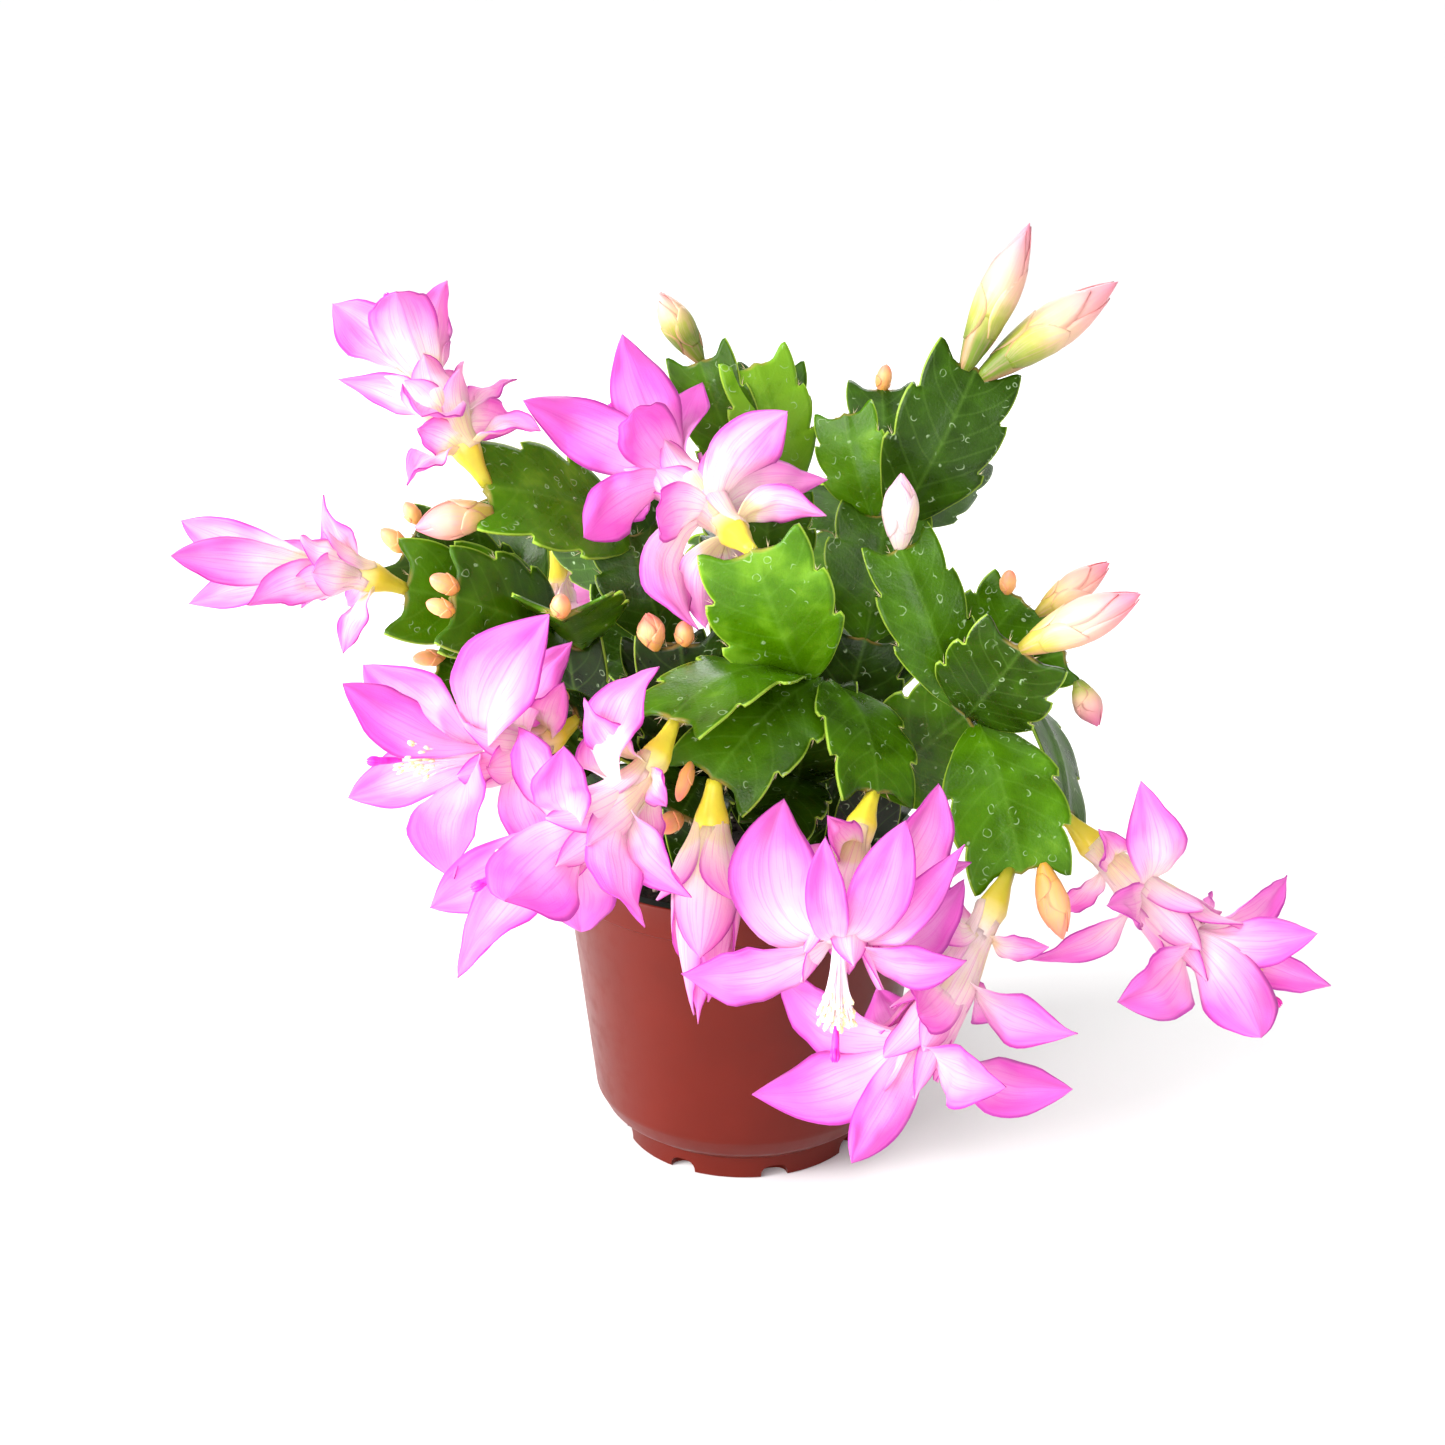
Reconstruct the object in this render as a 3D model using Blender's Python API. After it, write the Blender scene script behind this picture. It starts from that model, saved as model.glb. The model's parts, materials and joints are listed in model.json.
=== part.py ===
"""Potted Thanksgiving cactus (Schlumbergera truncata) in a small moulded nursery pot.

Blender 4.5 script, metres, +Z up. The origin is the centre of the pot's underside,
and the plant's showiest side looks along -Y. Lengths below are in millimetres.

The plant is a clump of rooted stems. Each stem is a chain of flat, toothed pads
joined end to end, and is one solid. Blooms and buds grow from the tips of the end
pads, and each of them is a solid of its own.
"""

import math
import random
from collections import namedtuple

import bmesh
import bpy
from mathutils import Matrix, Vector

MM = 0.001
WELD = 0.00001
CLEARANCE = 0.35

# Pot: outer radii and heights of the moulded profile
RIM_RADIUS = 42.5
POT_HEIGHT = 73.0
RIM_BAND = 7.6
RIM_STEP = 1.2
SHOULDER_RADIUS = 35.2
SHOULDER_HEIGHT = 13.0
CHAMFER_RADIUS = 28.9
FOOT_RADIUS = 28.2
FOOT_HEIGHT = 5.3
TOE_RADIUS = 33.2
TOE_HEIGHT = 9.0
EDGE_EASE = 0.4
WALL = 1.3
LIP = 3.0
LEDGE_DROP = 2.4
LEDGE = 1.6
FLOOR_TOP = 3.8
CHANNEL_OUTER = 24.0
CHANNEL_INNER = 13.0
CHANNEL_RISE = 2.2
CHANNEL_SLOPE = 1.2
POT_SIDES = 32
SHARP_ANGLE = 35
NOTCHES = 8
NOTCH_WIDTH = 5.0
NOTCH_DEPTH = 8.0
NOTCH_HEIGHT = 2.8
NOTCH_TURN = 14.5
DRAIN_HOLES = 4
DRAIN_RADIUS = 2.0
DRAIN_RING = 18.5
DRAIN_SIDES = 8

# Soil
SOIL_TOP = 65.0
SOIL_SHOULDER = 1.0
SOIL_GAP = 0.45
SOIL_RINGS = (0.75, 0.4)
SOIL_LUMP = 0.9
SOIL_SIDES = 20
SOIL_SEED = 7
ROOT_DEPTH = 9.0
ROOT_RADIUS = 1.9
ROOT_COLLAR = 4.4
ROOT_OVERLAP = 1.0
ROOT_SIDES = 6

# Pads: shares of a pad's length and half width along one edge, base to tip, and shares
# of its length and thicknesses along its rib. The oldest pads, at the soil, are plain.
TOOTHED_EDGE = [
    (-0.04, 0.13),
    (0.20, 0.70),
    (0.42, 1.02),
    (0.47, 0.86),
    (0.73, 1.02),
    (0.78, 0.82),
    (1.05, 0.80),
    (0.985, 0.38),
]
TOOTHED_RIB = [(-0.04, 1.5), (0.20, 2.2), (0.445, 2.4), (0.755, 2.1), (1.0, 1.5)]
PLAIN_EDGE = [(-0.04, 0.30), (0.30, 0.85), (0.70, 1.0), (1.05, 0.75), (0.985, 0.38)]
PLAIN_RIB = [(-0.04, 2.2), (0.45, 2.8), (1.0, 1.8)]
PAD_EDGE_THICKNESS = 1.0

# Blooms and buds
PETAL_THICKNESS = 0.65
PETAL_ROOT_WIDTH = 2.4
PETAL_CUP = 0.22
PETAL_PATH_STEPS = 24
PETAL_LAG = 25
PETAL_SWING = 1.5
PETAL_RISE = (4, 75)
STEEP = 0.85
INNER_START = 1.0
OUTER_START = 0.6
SEPAL_START = 0.36
ROOT_INSET = 0.6
MOUTH_LEAD = 0.45
OVARY_LENGTH = 9.5
OVARY_SPAN = (0.8, 1.1)
OVARY_FOOT_RADIUS = 1.3
OVARY_RADIUS = 3.3
TUBE_RADIUS = 3.0
MOUTH_RADIUS = 3.9
COLUMN_RADIUS = 1.4
COLUMN_LENGTH = 17.0
COLUMN_SINK = 2.0
STYLE_RADIUS = 0.8
STYLE_LENGTH = 6.0
BLOOM_SIDES = 6
COLUMN_SIDES = 4
BUD_SIDES = 6
SEAT_GAP = 0.5

# Petals twist so that their faces turn towards the light, by this many degrees at most
LIGHT = (0.0, -0.9, 0.44)
BACK_LIGHT = (0.0, 0.9, 0.44)
MOST_LEAN = 50

# Shares of a petal's length and half width, base to tip, in a broad and a slim petal
BROAD_PETAL = [(0.0, 0.0), (0.32, 0.80), (0.70, 1.0), (1.0, 0.0)]
SLIM_PETAL = [(0.0, 0.0), (0.5, 1.0), (1.0, 0.0)]

# Shares of a bud's length and girth, base to tip
BUD_PROFILE = [(0.0, 0.16), (0.26, 0.38), (0.52, 0.5), (0.8, 0.3), (1.0, 0.0)]

# A pad grows from the tip of its parent, numbered from 1 in its stem; 0 is the root.
# face is the way its broad upper side looks, shift moves its neck across the parent's
# tip, arch is its sag as a share of its length, and fold lifts its edges.
Pad = namedtuple(
    "Pad", "parent tip face width shift arch fold", defaults=(23.0, 0.0, 0.08, 0.10)
)

# A bloom grows from a pad's tip through its mouth, where it looks along aim. Its inner
# petals grow at the mouth, its outer ones further down the tube, and its sepals by the
# ovary. Each of them is (turn about aim, tilt from aim, length, width).
Bloom = namedtuple("Bloom", "stem pad mouth aim inner outer sepals shift", defaults=(0.0,))

# A bud grows from a pad's tip to its own tip.
Bud = namedtuple("Bud", "stem pad tip girth shift", defaults=(0.0,))


def ring(count, tilt, length, width, turn=0):
    """Petals evenly round a bloom."""
    return [(turn + 360 * k / count, tilt, length, width) for k in range(count)]


STEMS = {
    "stem_front": (
        (9, -13),
        [
            Pad(0, (12, -23, 97), (0.0, -1.0, 0.3), 15),
            Pad(1, (14, -38, 125), (-0.1, -1.0, 0.45), 22),
            Pad(2, (1, -46, 156), (-0.15, -1.0, 0.3), 26, -2),
            Pad(2, (-15, -66, 126), (-0.1, -0.1, 1.0), 24, -4, 0.12),
            Pad(2, (-7, -62, 112), (-0.3, -1.0, 0.75), 24, 1, 0.12),
            Pad(2, (26, -62, 109), (0.55, -0.6, 0.6), 22, 4, 0.12),
            Pad(1, (6, -46, 95), (0.1, -0.4, 1.0), 18),
        ],
    ),
    "stem_low_left": (
        (-9, -17),
        [
            Pad(0, (-12, -25, 97), (0.1, -1.0, 0.3), 15),
            Pad(1, (-14, -36, 133), (0.1, -1.0, 0.35), 22),
            Pad(1, (-36, -42, 118), (-0.2, -0.5, 1.0), 20, -5),
            Pad(1, (-14, -50, 99), (0.2, -0.8, 0.8), 17, 3),
        ],
    ),
    "stem_left_mid": (
        (-22, -5),
        [
            Pad(0, (-31, -9, 95), (-0.5, -1.0, 0.3), 15),
            Pad(1, (-38, -19, 127), (-0.5, -1.0, 0.3), 20),
            Pad(2, (-61, -40, 144), (-0.2, -0.9, 0.6), 25, -3),
            Pad(2, (-38, -46, 142), (0.0, 0.5, 0.9), 23, 3, 0.05, 0.5),
            Pad(1, (-47, -14, 108), (-0.3, -0.7, 0.8), 19, -4),
            Pad(5, (-67, -20, 123), (-0.2, -0.7, 0.8), 19),
        ],
    ),
    "stem_left_back": (
        (-24, 12),
        [
            Pad(0, (-33, 8, 95), (-1.0, -0.4, 0.2), 15),
            Pad(1, (-45, -3, 126), (-0.6, -0.8, 0.4), 22),
            Pad(2, (-73, -24, 141), (-0.2, -0.9, 0.5), 25, 4),
            Pad(2, (-75, -4, 145), (-0.2, -0.7, 0.8), 23, -3),
            Pad(2, (-57, 16, 151), (-0.5, -0.4, 0.8), 22, -4),
        ],
    ),
    "stem_left_top": (
        (-6, 1),
        [
            Pad(0, (-14, -3, 96), (-0.3, -1.0, 0.2), 15),
            Pad(1, (-18, -8, 124), (-0.1, -1.0, 0.2), 22),
            Pad(2, (-26, -4, 147), (0.2, -1.0, 0.2), 20),
            Pad(3, (-55, -24, 163), (-0.1, -0.75, 0.8), 26),
        ],
    ),
    "stem_top": (
        (3, 17),
        [
            Pad(0, (2, 16, 97), (0.0, -1.0, 0.1), 15),
            Pad(1, (4, 14, 126), (0.1, -1.0, 0.1), 22),
            Pad(2, (6, 12, 152), (-0.1, -1.0, 0.1), 22),
            Pad(3, (2, 8, 183), (0.35, -1.0, 0.1), 19, 3),
            Pad(3, (-10, 8, 184), (-0.2, -1.0, 0.1), 17, -3),
            Pad(3, (6, 24, 178), (0.0, -1.0, 0.3), 18),
        ],
    ),
    "stem_right_top": (
        (15, 4),
        [
            Pad(0, (20, 2, 95), (0.2, -1.0, 0.1), 15),
            Pad(1, (27, -2, 123), (0.0, -1.0, 0.1), 22),
            Pad(2, (31, 2, 150), (0.0, -1.0, 0.2), 24),
            Pad(3, (50, 3, 183), (0.1, -1.0, 0.1), 24, 3),
            Pad(3, (22, 6, 172), (-0.3, -1.0, 0.2), 16, -3),
            Pad(3, (31, 22, 174), (0.0, -1.0, 0.1), 18),
            Pad(3, (54, 20, 161), (0.5, -0.8, -0.2), 17, 4),
        ],
    ),
    "stem_right_front": (
        (24, -11),
        [
            Pad(0, (28, -20, 95), (0.2, -1.0, 0.2), 15),
            Pad(1, (47, -36, 117), (0.1, -1.0, 0.4), 26),
            Pad(2, (32, -30, 152), (0.15, -1.0, 0.15), 18, -4),
            Pad(2, (56, -52, 137), (0.1, -0.9, 0.5), 24, 0),
            Pad(2, (57, -56, 89), (0.15, -1.0, 0.25), 25, 4, 0.12),
        ],
    ),
    "stem_right_back": (
        (29, 6),
        [
            Pad(0, (38, 2, 95), (0.8, -0.6, 0.2), 15),
            Pad(1, (51, -6, 117), (0.5, -0.9, 0.2), 20),
            Pad(2, (60, -14, 136), (0.0, -0.9, 0.3), 20, -3),
            Pad(2, (69, -34, 93), (0.85, -0.5, 0.2), 19, 2, 0.14),
            Pad(2, (70, -16, 124), (0.5, -0.8, 0.4), 16, 4),
        ],
    ),
    "stem_back_left": (
        (-12, 25),
        [
            Pad(0, (-19, 34, 94), (-0.5, 1.0, 0.2), 15),
            Pad(1, (-28, 48, 120), (-0.5, 1.0, 0.4), 22),
            Pad(2, (-46, 62, 138), (-0.6, 0.8, 0.8), 24, 3),
            Pad(2, (-18, 66, 140), (0.1, 0.9, 0.8), 23, -3),
            Pad(3, (-48, 80, 120), (-0.2, 0.8, 0.8), 24, 0, 0.12),
            Pad(1, (-34, 50, 100), (-0.6, 0.7, 0.9), 18, 3),
        ],
    ),
    "stem_back": (
        (3, 29),
        [
            Pad(0, (4, 43, 94), (0.1, 1.0, 0.2), 15),
            Pad(1, (2, 58, 116), (0.0, 1.0, 0.5), 22),
            Pad(2, (0, 82, 124), (0.0, 0.4, 1.0), 23),
            Pad(3, (-4, 102, 103), (-0.1, 0.9, 0.7), 24, 0, 0.12),
            Pad(1, (8, 62, 96), (0.2, 0.5, 1.0), 18, -3),
        ],
    ),
    "stem_back_right": (
        (18, 24),
        [
            Pad(0, (25, 34, 95), (0.5, 1.0, 0.2), 15),
            Pad(1, (34, 46, 124), (0.5, 1.0, 0.4), 22),
            Pad(1, (42, 56, 114), (0.5, 0.8, 0.5), 20, -4),
            Pad(2, (24, 68, 140), (0.0, 0.9, 0.8), 22, 4),
            Pad(4, (24, 90, 122), (0.0, 0.9, 0.8), 24, 0, 0.12),
            Pad(5, (26, 102, 94), (0.1, 1.0, 0.4), 23, 0, 0.10),
            Pad(3, (46, 78, 104), (0.4, 0.7, 0.8), 22, 0, 0.10),
        ],
    ),
}

BLOOMS = {
    "bloom_top_left": Bloom(
        "stem_left_top",
        4,
        (-66, -16, 183),
        (-0.45, 0.5, 0.75),
        [(-155, 15, 33, 16), (-35, 70, 34, 14), (105, 30, 29, 10), (45, 30, 23, 11)],
        [(-130, 40, 26, 9), (-50, 100, 24, 14), (85, 65, 20, 8), (110, 90, 22, 10)],
        [(-70, 75, 14, 8), (-90, 105, 18, 8), (30, 110, 16, 8)],
        1,
    ),
    "bloom_left": Bloom(
        "stem_left_back",
        3,
        (-90, -32, 148),
        (-1.0, -0.15, 0.1),
        [(-65, 20, 33, 12), (60, 22, 32, 12), (180, 18, 28, 11)],
        [(-95, 40, 30, 11), (90, 35, 26, 10)],
        [(15, 50, 20, 9), (-140, 70, 17, 7), (130, 70, 16, 7)],
    ),
    "bloom_top": Bloom(
        "stem_front",
        3,
        (-14, -22, 165),
        (-0.6, 0.5, 0.5),
        [
            (5, 25, 33, 14),
            (-95, 35, 37, 14),
            (-45, 65, 24, 14),
            (-110, 85, 26, 13),
            (80, 45, 30, 14),
            (165, 60, 25, 12),
        ],
        [(10, 90, 27, 14), (-75, 95, 25, 12), (-130, 130, 29, 12), (75, 110, 26, 12)],
        [(45, 135, 20, 9), (-160, 120, 21, 9), (160, 140, 19, 8)],
    ),
    "bloom_low_left": Bloom(
        "stem_front",
        4,
        (-33, -86, 111),
        (-0.85, -0.4, -0.35),
        [
            (-160, 20, 37, 14),
            (130, 20, 34, 13),
            (-85, 35, 26, 19),
            (-20, 90, 22, 12),
            (62, 95, 27, 11),
            (165, 75, 26, 17),
        ],
        [(-110, 60, 32, 12), (15, 130, 28, 12), (-125, 85, 25, 10), (80, 105, 26, 10)],
        [(0, 70, 19, 9), (-95, 80, 13, 7), (-170, 70, 18, 8)],
    ),
    "bloom_far_left": Bloom(
        "stem_low_left",
        3,
        (-54, -61, 117),
        (-0.95, -0.4, 0.1),
        [
            (-15, 105, 34, 18),
            (55, 55, 32, 16),
            (10, 25, 33, 13),
            (130, 45, 32, 12),
            (-120, 65, 30, 19),
            (80, 105, 28, 14),
        ],
        [(85, 130, 25, 10), (180, 105, 26, 12), (20, 120, 24, 11)],
        [(-35, 85, 18, 8), (150, 115, 18, 8)],
    ),
    "bloom_front": Bloom(
        "stem_front",
        6,
        (18, -86, 87),
        (-0.05, -0.6, -0.8),
        [
            (58, 150, 38, 19),
            (176, 150, 31, 13),
            (-40, 130, 32, 15),
            (-105, 125, 30, 13),
            (100, 80, 32, 14),
            (-80, 75, 25, 10),
            (20, 115, 30, 9),
        ],
        [(-70, 141, 28, 13), (-95, 105, 24, 10), (70, 90, 22, 10)],
        [(-125, 70, 20, 8), (15, 90, 16, 8), (150, 100, 18, 8)],
    ),
    "bloom_low_right": Bloom(
        "stem_right_front",
        5,
        (35, -78, 62),
        (-0.55, -0.35, -0.75),
        [
            (35, 30, 37, 17),
            (-65, 20, 31, 11),
            (60, 75, 33, 17),
            (-140, 100, 32, 15),
            (-90, 90, 25, 13),
            (110, 100, 28, 15),
        ],
        [(-40, 60, 27, 14), (-120, 90, 27, 13), (175, 90, 20, 9)],
        [(-10, 80, 16, 8), (-120, 115, 13, 7), (100, 110, 18, 8)],
        2,
    ),
    "bloom_right": Bloom(
        "stem_right_back",
        4,
        (96, -46, 70),
        (0.75, -0.4, -0.5),
        [
            (80, 40, 33, 15),
            (-50, 20, 32, 9),
            (5, 40, 29, 11),
            (-100, 95, 26, 13),
            (-60, 70, 28, 9),
            (115, 90, 25, 17),
        ],
        [(15, 115, 29, 13), (130, 105, 29, 8), (75, 90, 24, 10)],
        [(45, 105, 15, 8), (-100, 100, 16, 8), (160, 95, 15, 8)],
    ),
    "bloom_back_left": Bloom(
        "stem_back_left",
        5,
        (-50, 98, 98),
        (-0.15, 0.7, -0.7),
        ring(6, 70, 33, 16),
        ring(3, 110, 27, 12, 30),
        ring(3, 100, 18, 8, 90),
    ),
}

BUDS = {
    "bud_top_pale": Bud("stem_top", 5, (-19, 6, 199), 7),
    "bud_top_right_tall": Bud("stem_right_top", 4, (61, 6, 214), 9, -2),
    "bud_top_right_wide": Bud("stem_right_top", 4, (81, 8, 201), 10, 2),
    "bud_top_small": Bud("stem_right_top", 6, (32, 22, 180), 3.5),
    "bud_top_right_small": Bud("stem_right_top", 7, (59, 19, 166), 3.5),
    "bud_white": Bud("stem_right_front", 3, (32, -30, 168), 7.5),
    "bud_right_upper": Bud("stem_right_back", 3, (79, -14, 144), 6.5, 5),
    "bud_right_inner": Bud("stem_right_back", 3, (57, -17, 143), 3.5, -3),
    "bud_right_wide": Bud("stem_right_front", 4, (78, -60, 151), 9, 0),
    "bud_right_hanging": Bud("stem_right_back", 5, (77, -22, 109), 6, 6.4),
    "bud_low_orange": Bud("stem_right_front", 5, (66, -61, 76), 6.5, -5),
    "bud_left_pink": Bud("stem_left_top", 4, (-69, -33, 157), 8, -5.5),
    "bud_left_far": Bud("stem_left_back", 4, (-80, -5, 149), 4, -1),
    "bud_left_far_small": Bud("stem_left_back", 4, (-75, -1, 154), 3.5, 6),
    "bud_left_pair_low": Bud("stem_left_mid", 3, (-66, -43, 144), 3.5, -3),
    "bud_left_pair_high": Bud("stem_left_mid", 3, (-65, -42, 149), 4, 2),
    "bud_left_fold": Bud("stem_left_mid", 4, (-38, -48, 147), 4),
    "bud_left_low": Bud("stem_left_mid", 6, (-72, -23, 125), 3.5, 2),
    "bud_middle_large": Bud("stem_low_left", 2, (-21, -38, 140), 5.5, -5),
    "bud_middle_small": Bud("stem_low_left", 2, (-13, -37, 138), 4, 1),
    "bud_inner_left": Bud("stem_low_left", 3, (-41, -42, 124), 3.5, 6),
    "bud_under_left": Bud("stem_low_left", 4, (-18, -56, 99), 4.5),
    "bud_hanging_red": Bud("stem_front", 5, (-14, -66, 109), 3, 6),
    "bud_hanging_white": Bud("stem_front", 5, (-10, -74, 63), 15),
    "bud_under_front": Bud("stem_front", 7, (1, -52, 86), 6),
    "bud_back_wide": Bud("stem_back_right", 6, (34, 112, 73), 9, 4),
    "bud_back_slim": Bud("stem_back_right", 6, (18, 111, 77), 6, -5),
    "bud_back_middle": Bud("stem_back", 4, (-6, 112, 84), 8),
    "bud_back_side": Bud("stem_back_right", 7, (48, 88, 90), 6),
}


def along(a, b, share):
    return a + (b - a) * share


def build_mesh(name, points, faces):
    """A closed mesh of points in millimetres, its faces turned outwards."""
    form = bmesh.new()
    corners = [form.verts.new(p * MM) for p in points]
    for face in faces:
        form.faces.new([corners[i] for i in face])
    bmesh.ops.recalc_face_normals(form, faces=form.faces)
    mesh = bpy.data.meshes.new(name)
    form.to_mesh(mesh)
    form.free()
    return mesh


def blade_mesh(name, middle, normals, thickness, faces, outline):
    """A closed thin solid: one skin on each side of the middle surface, and a wall."""
    count = len(middle)
    upper = [p + n * t / 2 for p, n, t in zip(middle, normals, thickness)]
    lower = [p - n * t / 2 for p, n, t in zip(middle, normals, thickness)]
    skins = list(faces) + [tuple(i + count for i in f) for f in faces]
    for a, b in zip(outline, outline[1:] + outline[:1]):
        skins.append((a, a + count, b + count))
        skins.append((a, b + count, b))
    return build_mesh(name, upper + lower, skins)


def pad_frame(start, tip, face):
    """Unit vectors of a pad: along it, across it, and out of its upper face."""
    axis = (tip - start).normalized()
    across = axis.cross(Vector(face)).normalized()
    return axis, across, across.cross(axis)


def ladder(rib, edge, keys):
    """Triangles between a pad's rib and one of its edges. The rib's tip comes last."""
    i, j, faces = 0, 0, []
    while i < len(rib) - 1 or j < len(edge) - 1:
        more = j < len(edge) - 1
        if more and (i >= len(rib) - 2 or keys[edge[j + 1]] <= keys[rib[i + 1]]):
            faces.append((rib[i], edge[j], edge[j + 1]))
            j += 1
        else:
            faces.append((rib[i], edge[j], rib[i + 1]))
            i += 1
    return faces


def pad_mesh(name, start, tip, pad):
    length = (tip - start).length
    axis, across, normal = pad_frame(start, tip, pad.face)
    edge, rib = (TOOTHED_EDGE, TOOTHED_RIB) if pad.parent else (PLAIN_EDGE, PLAIN_RIB)

    def place(share, half):
        """The point and the normal at a share of the length and of the half width."""
        sag = 4 * pad.arch * length * share * (1 - share)
        slope = 4 * pad.arch * (1 - 2 * share)
        upright = (normal - axis * slope).normalized()
        lift = pad.fold * abs(half) * pad.width / 2
        point = start + axis * length * share + normal * sag
        return point + across * half * pad.width / 2 + upright * lift, upright

    middle = list(range(len(rib)))
    left = [len(rib) + i for i in range(len(edge))]
    right = [len(rib) + len(edge) + i for i in range(len(edge))]
    spots = [(u, 0.0) for u, _ in rib]
    spots += edge + [(u, -v) for u, v in edge]
    placed = [place(u, v) for u, v in spots]
    keys = [u for u, _ in spots]
    return blade_mesh(
        name,
        [p for p, _ in placed],
        [n for _, n in placed],
        [t for _, t in rib] + [PAD_EDGE_THICKNESS] * (2 * len(edge)),
        ladder(middle, left, keys) + ladder(middle, right, keys),
        [middle[0]] + left + [middle[-1]] + right[::-1],
    )


def tube_mesh(name, centres, radii, sides, upward=None):
    """A closed tube round a line of centres. A radius of 0 ends it in a point.

    Its flats, not its edges, look along upward.
    """
    points, rings = [], []
    for i, (centre, radius) in enumerate(zip(centres, radii)):
        ahead = centres[min(i + 1, len(centres) - 1)] - centres[max(i - 1, 0)]
        ahead.normalize()
        across = upward or ahead.orthogonal()
        across = (across - ahead * across.dot(ahead)).normalized()
        ring = []
        for k in range(sides if radius else 1):
            turn = Matrix.Rotation(2 * math.pi * (k + 0.5) / sides, 3, ahead)
            ring.append(len(points))
            points.append(centre + turn @ across * radius)
        rings.append(ring)
    faces = []
    for low, high in zip(rings, rings[1:]):
        for k in range(sides):
            n = (k + 1) % sides
            if len(high) == 1:
                faces.append((low[k], low[n], high[0]))
            else:
                faces.append((low[k], low[n], high[n], high[k]))
    faces.append(rings[0])
    if len(rings[-1]) > 1:
        faces.append(rings[-1])
    return build_mesh(name, points, faces)


def apply_modifiers(body):
    bpy.context.view_layer.update()
    graph = bpy.context.evaluated_depsgraph_get()
    body.data = bpy.data.meshes.new_from_object(body.evaluated_get(graph))
    body.data.name = body.name
    body.modifiers.clear()


def combine(body, meshes, operation):
    """One Boolean of the body with a collection of meshes, which is then removed."""
    group = bpy.data.collections.new(body.name + "_pieces")
    bpy.context.scene.collection.children.link(group)
    for mesh in meshes:
        group.objects.link(bpy.data.objects.new(mesh.name, mesh))
    join = body.modifiers.new("Join", "BOOLEAN")
    join.operation = operation
    join.operand_type = "COLLECTION"
    join.collection = group
    join.solver = "EXACT"
    apply_modifiers(body)
    for piece in list(group.objects):
        bpy.data.objects.remove(piece)
    bpy.data.collections.remove(group)


def fused(name, meshes, material):
    """One object made of overlapping meshes."""
    body = bpy.data.objects.new(name, meshes[0])
    bpy.context.scene.collection.objects.link(body)
    if len(meshes) > 1:
        combine(body, meshes[1:], "UNION")
    body.data.materials.clear()
    body.data.materials.append(material)
    return body


def make_material(name, colour, roughness):
    material = bpy.data.materials.new(name)
    material.use_nodes = True
    shader = material.node_tree.nodes["Principled BSDF"]
    shader.inputs["Base Color"].default_value = (*colour, 1.0)
    shader.inputs["Roughness"].default_value = roughness
    shader.inputs["Metallic"].default_value = 0.0
    return material


def turned(name, profile, sides):
    """A solid of revolution about Z. The profile starts and ends on the axis."""
    form = bmesh.new()
    points = [form.verts.new((r * MM, 0, z * MM)) for r, z in profile]
    edges = [form.edges.new(pair) for pair in zip(points, points[1:])]
    bmesh.ops.spin(
        form,
        geom=points + edges,
        axis=(0, 0, 1),
        cent=(0, 0, 0),
        angle=2 * math.pi,
        steps=sides,
        use_merge=True,
    )
    bmesh.ops.remove_doubles(form, verts=form.verts, dist=WELD)
    bmesh.ops.recalc_face_normals(form, faces=form.faces)
    mesh = bpy.data.meshes.new(name)
    form.to_mesh(mesh)
    form.free()
    thing = bpy.data.objects.new(name, mesh)
    bpy.context.scene.collection.objects.link(thing)
    return thing


def wall_radius(height):
    """Outer radius of the pot's plain wall."""
    top = POT_HEIGHT - RIM_BAND
    share = (height - SHOULDER_HEIGHT) / (top - SHOULDER_HEIGHT)
    return along(SHOULDER_RADIUS, RIM_RADIUS - RIM_STEP, share)


def box_mesh(name, size, centre, turn):
    """A box, sizes along X, Y and Z, pushed out along X and then turned about Z."""
    form = bmesh.new()
    place = Matrix.Rotation(turn, 4, "Z") @ Matrix.Translation(Vector(centre) * MM)
    stretch = Matrix.Diagonal((*(s * MM for s in size), 1.0))
    bmesh.ops.create_cube(form, size=1.0, matrix=place @ stretch)
    mesh = bpy.data.meshes.new(name)
    form.to_mesh(mesh)
    form.free()
    return mesh


def inner_profile(top, gap):
    """The pot's inside from the height top down to the floor's centre, shrunk by gap."""
    return [
        (wall_radius(top) - WALL - LEDGE - gap, top),
        (SHOULDER_RADIUS - WALL - gap, SHOULDER_HEIGHT + gap),
        (CHAMFER_RADIUS - WALL - gap, FOOT_HEIGHT + WALL + gap),
        (CHAMFER_RADIUS - WALL - gap, FLOOR_TOP + gap),
        (0, FLOOR_TOP + gap),
    ]


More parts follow.
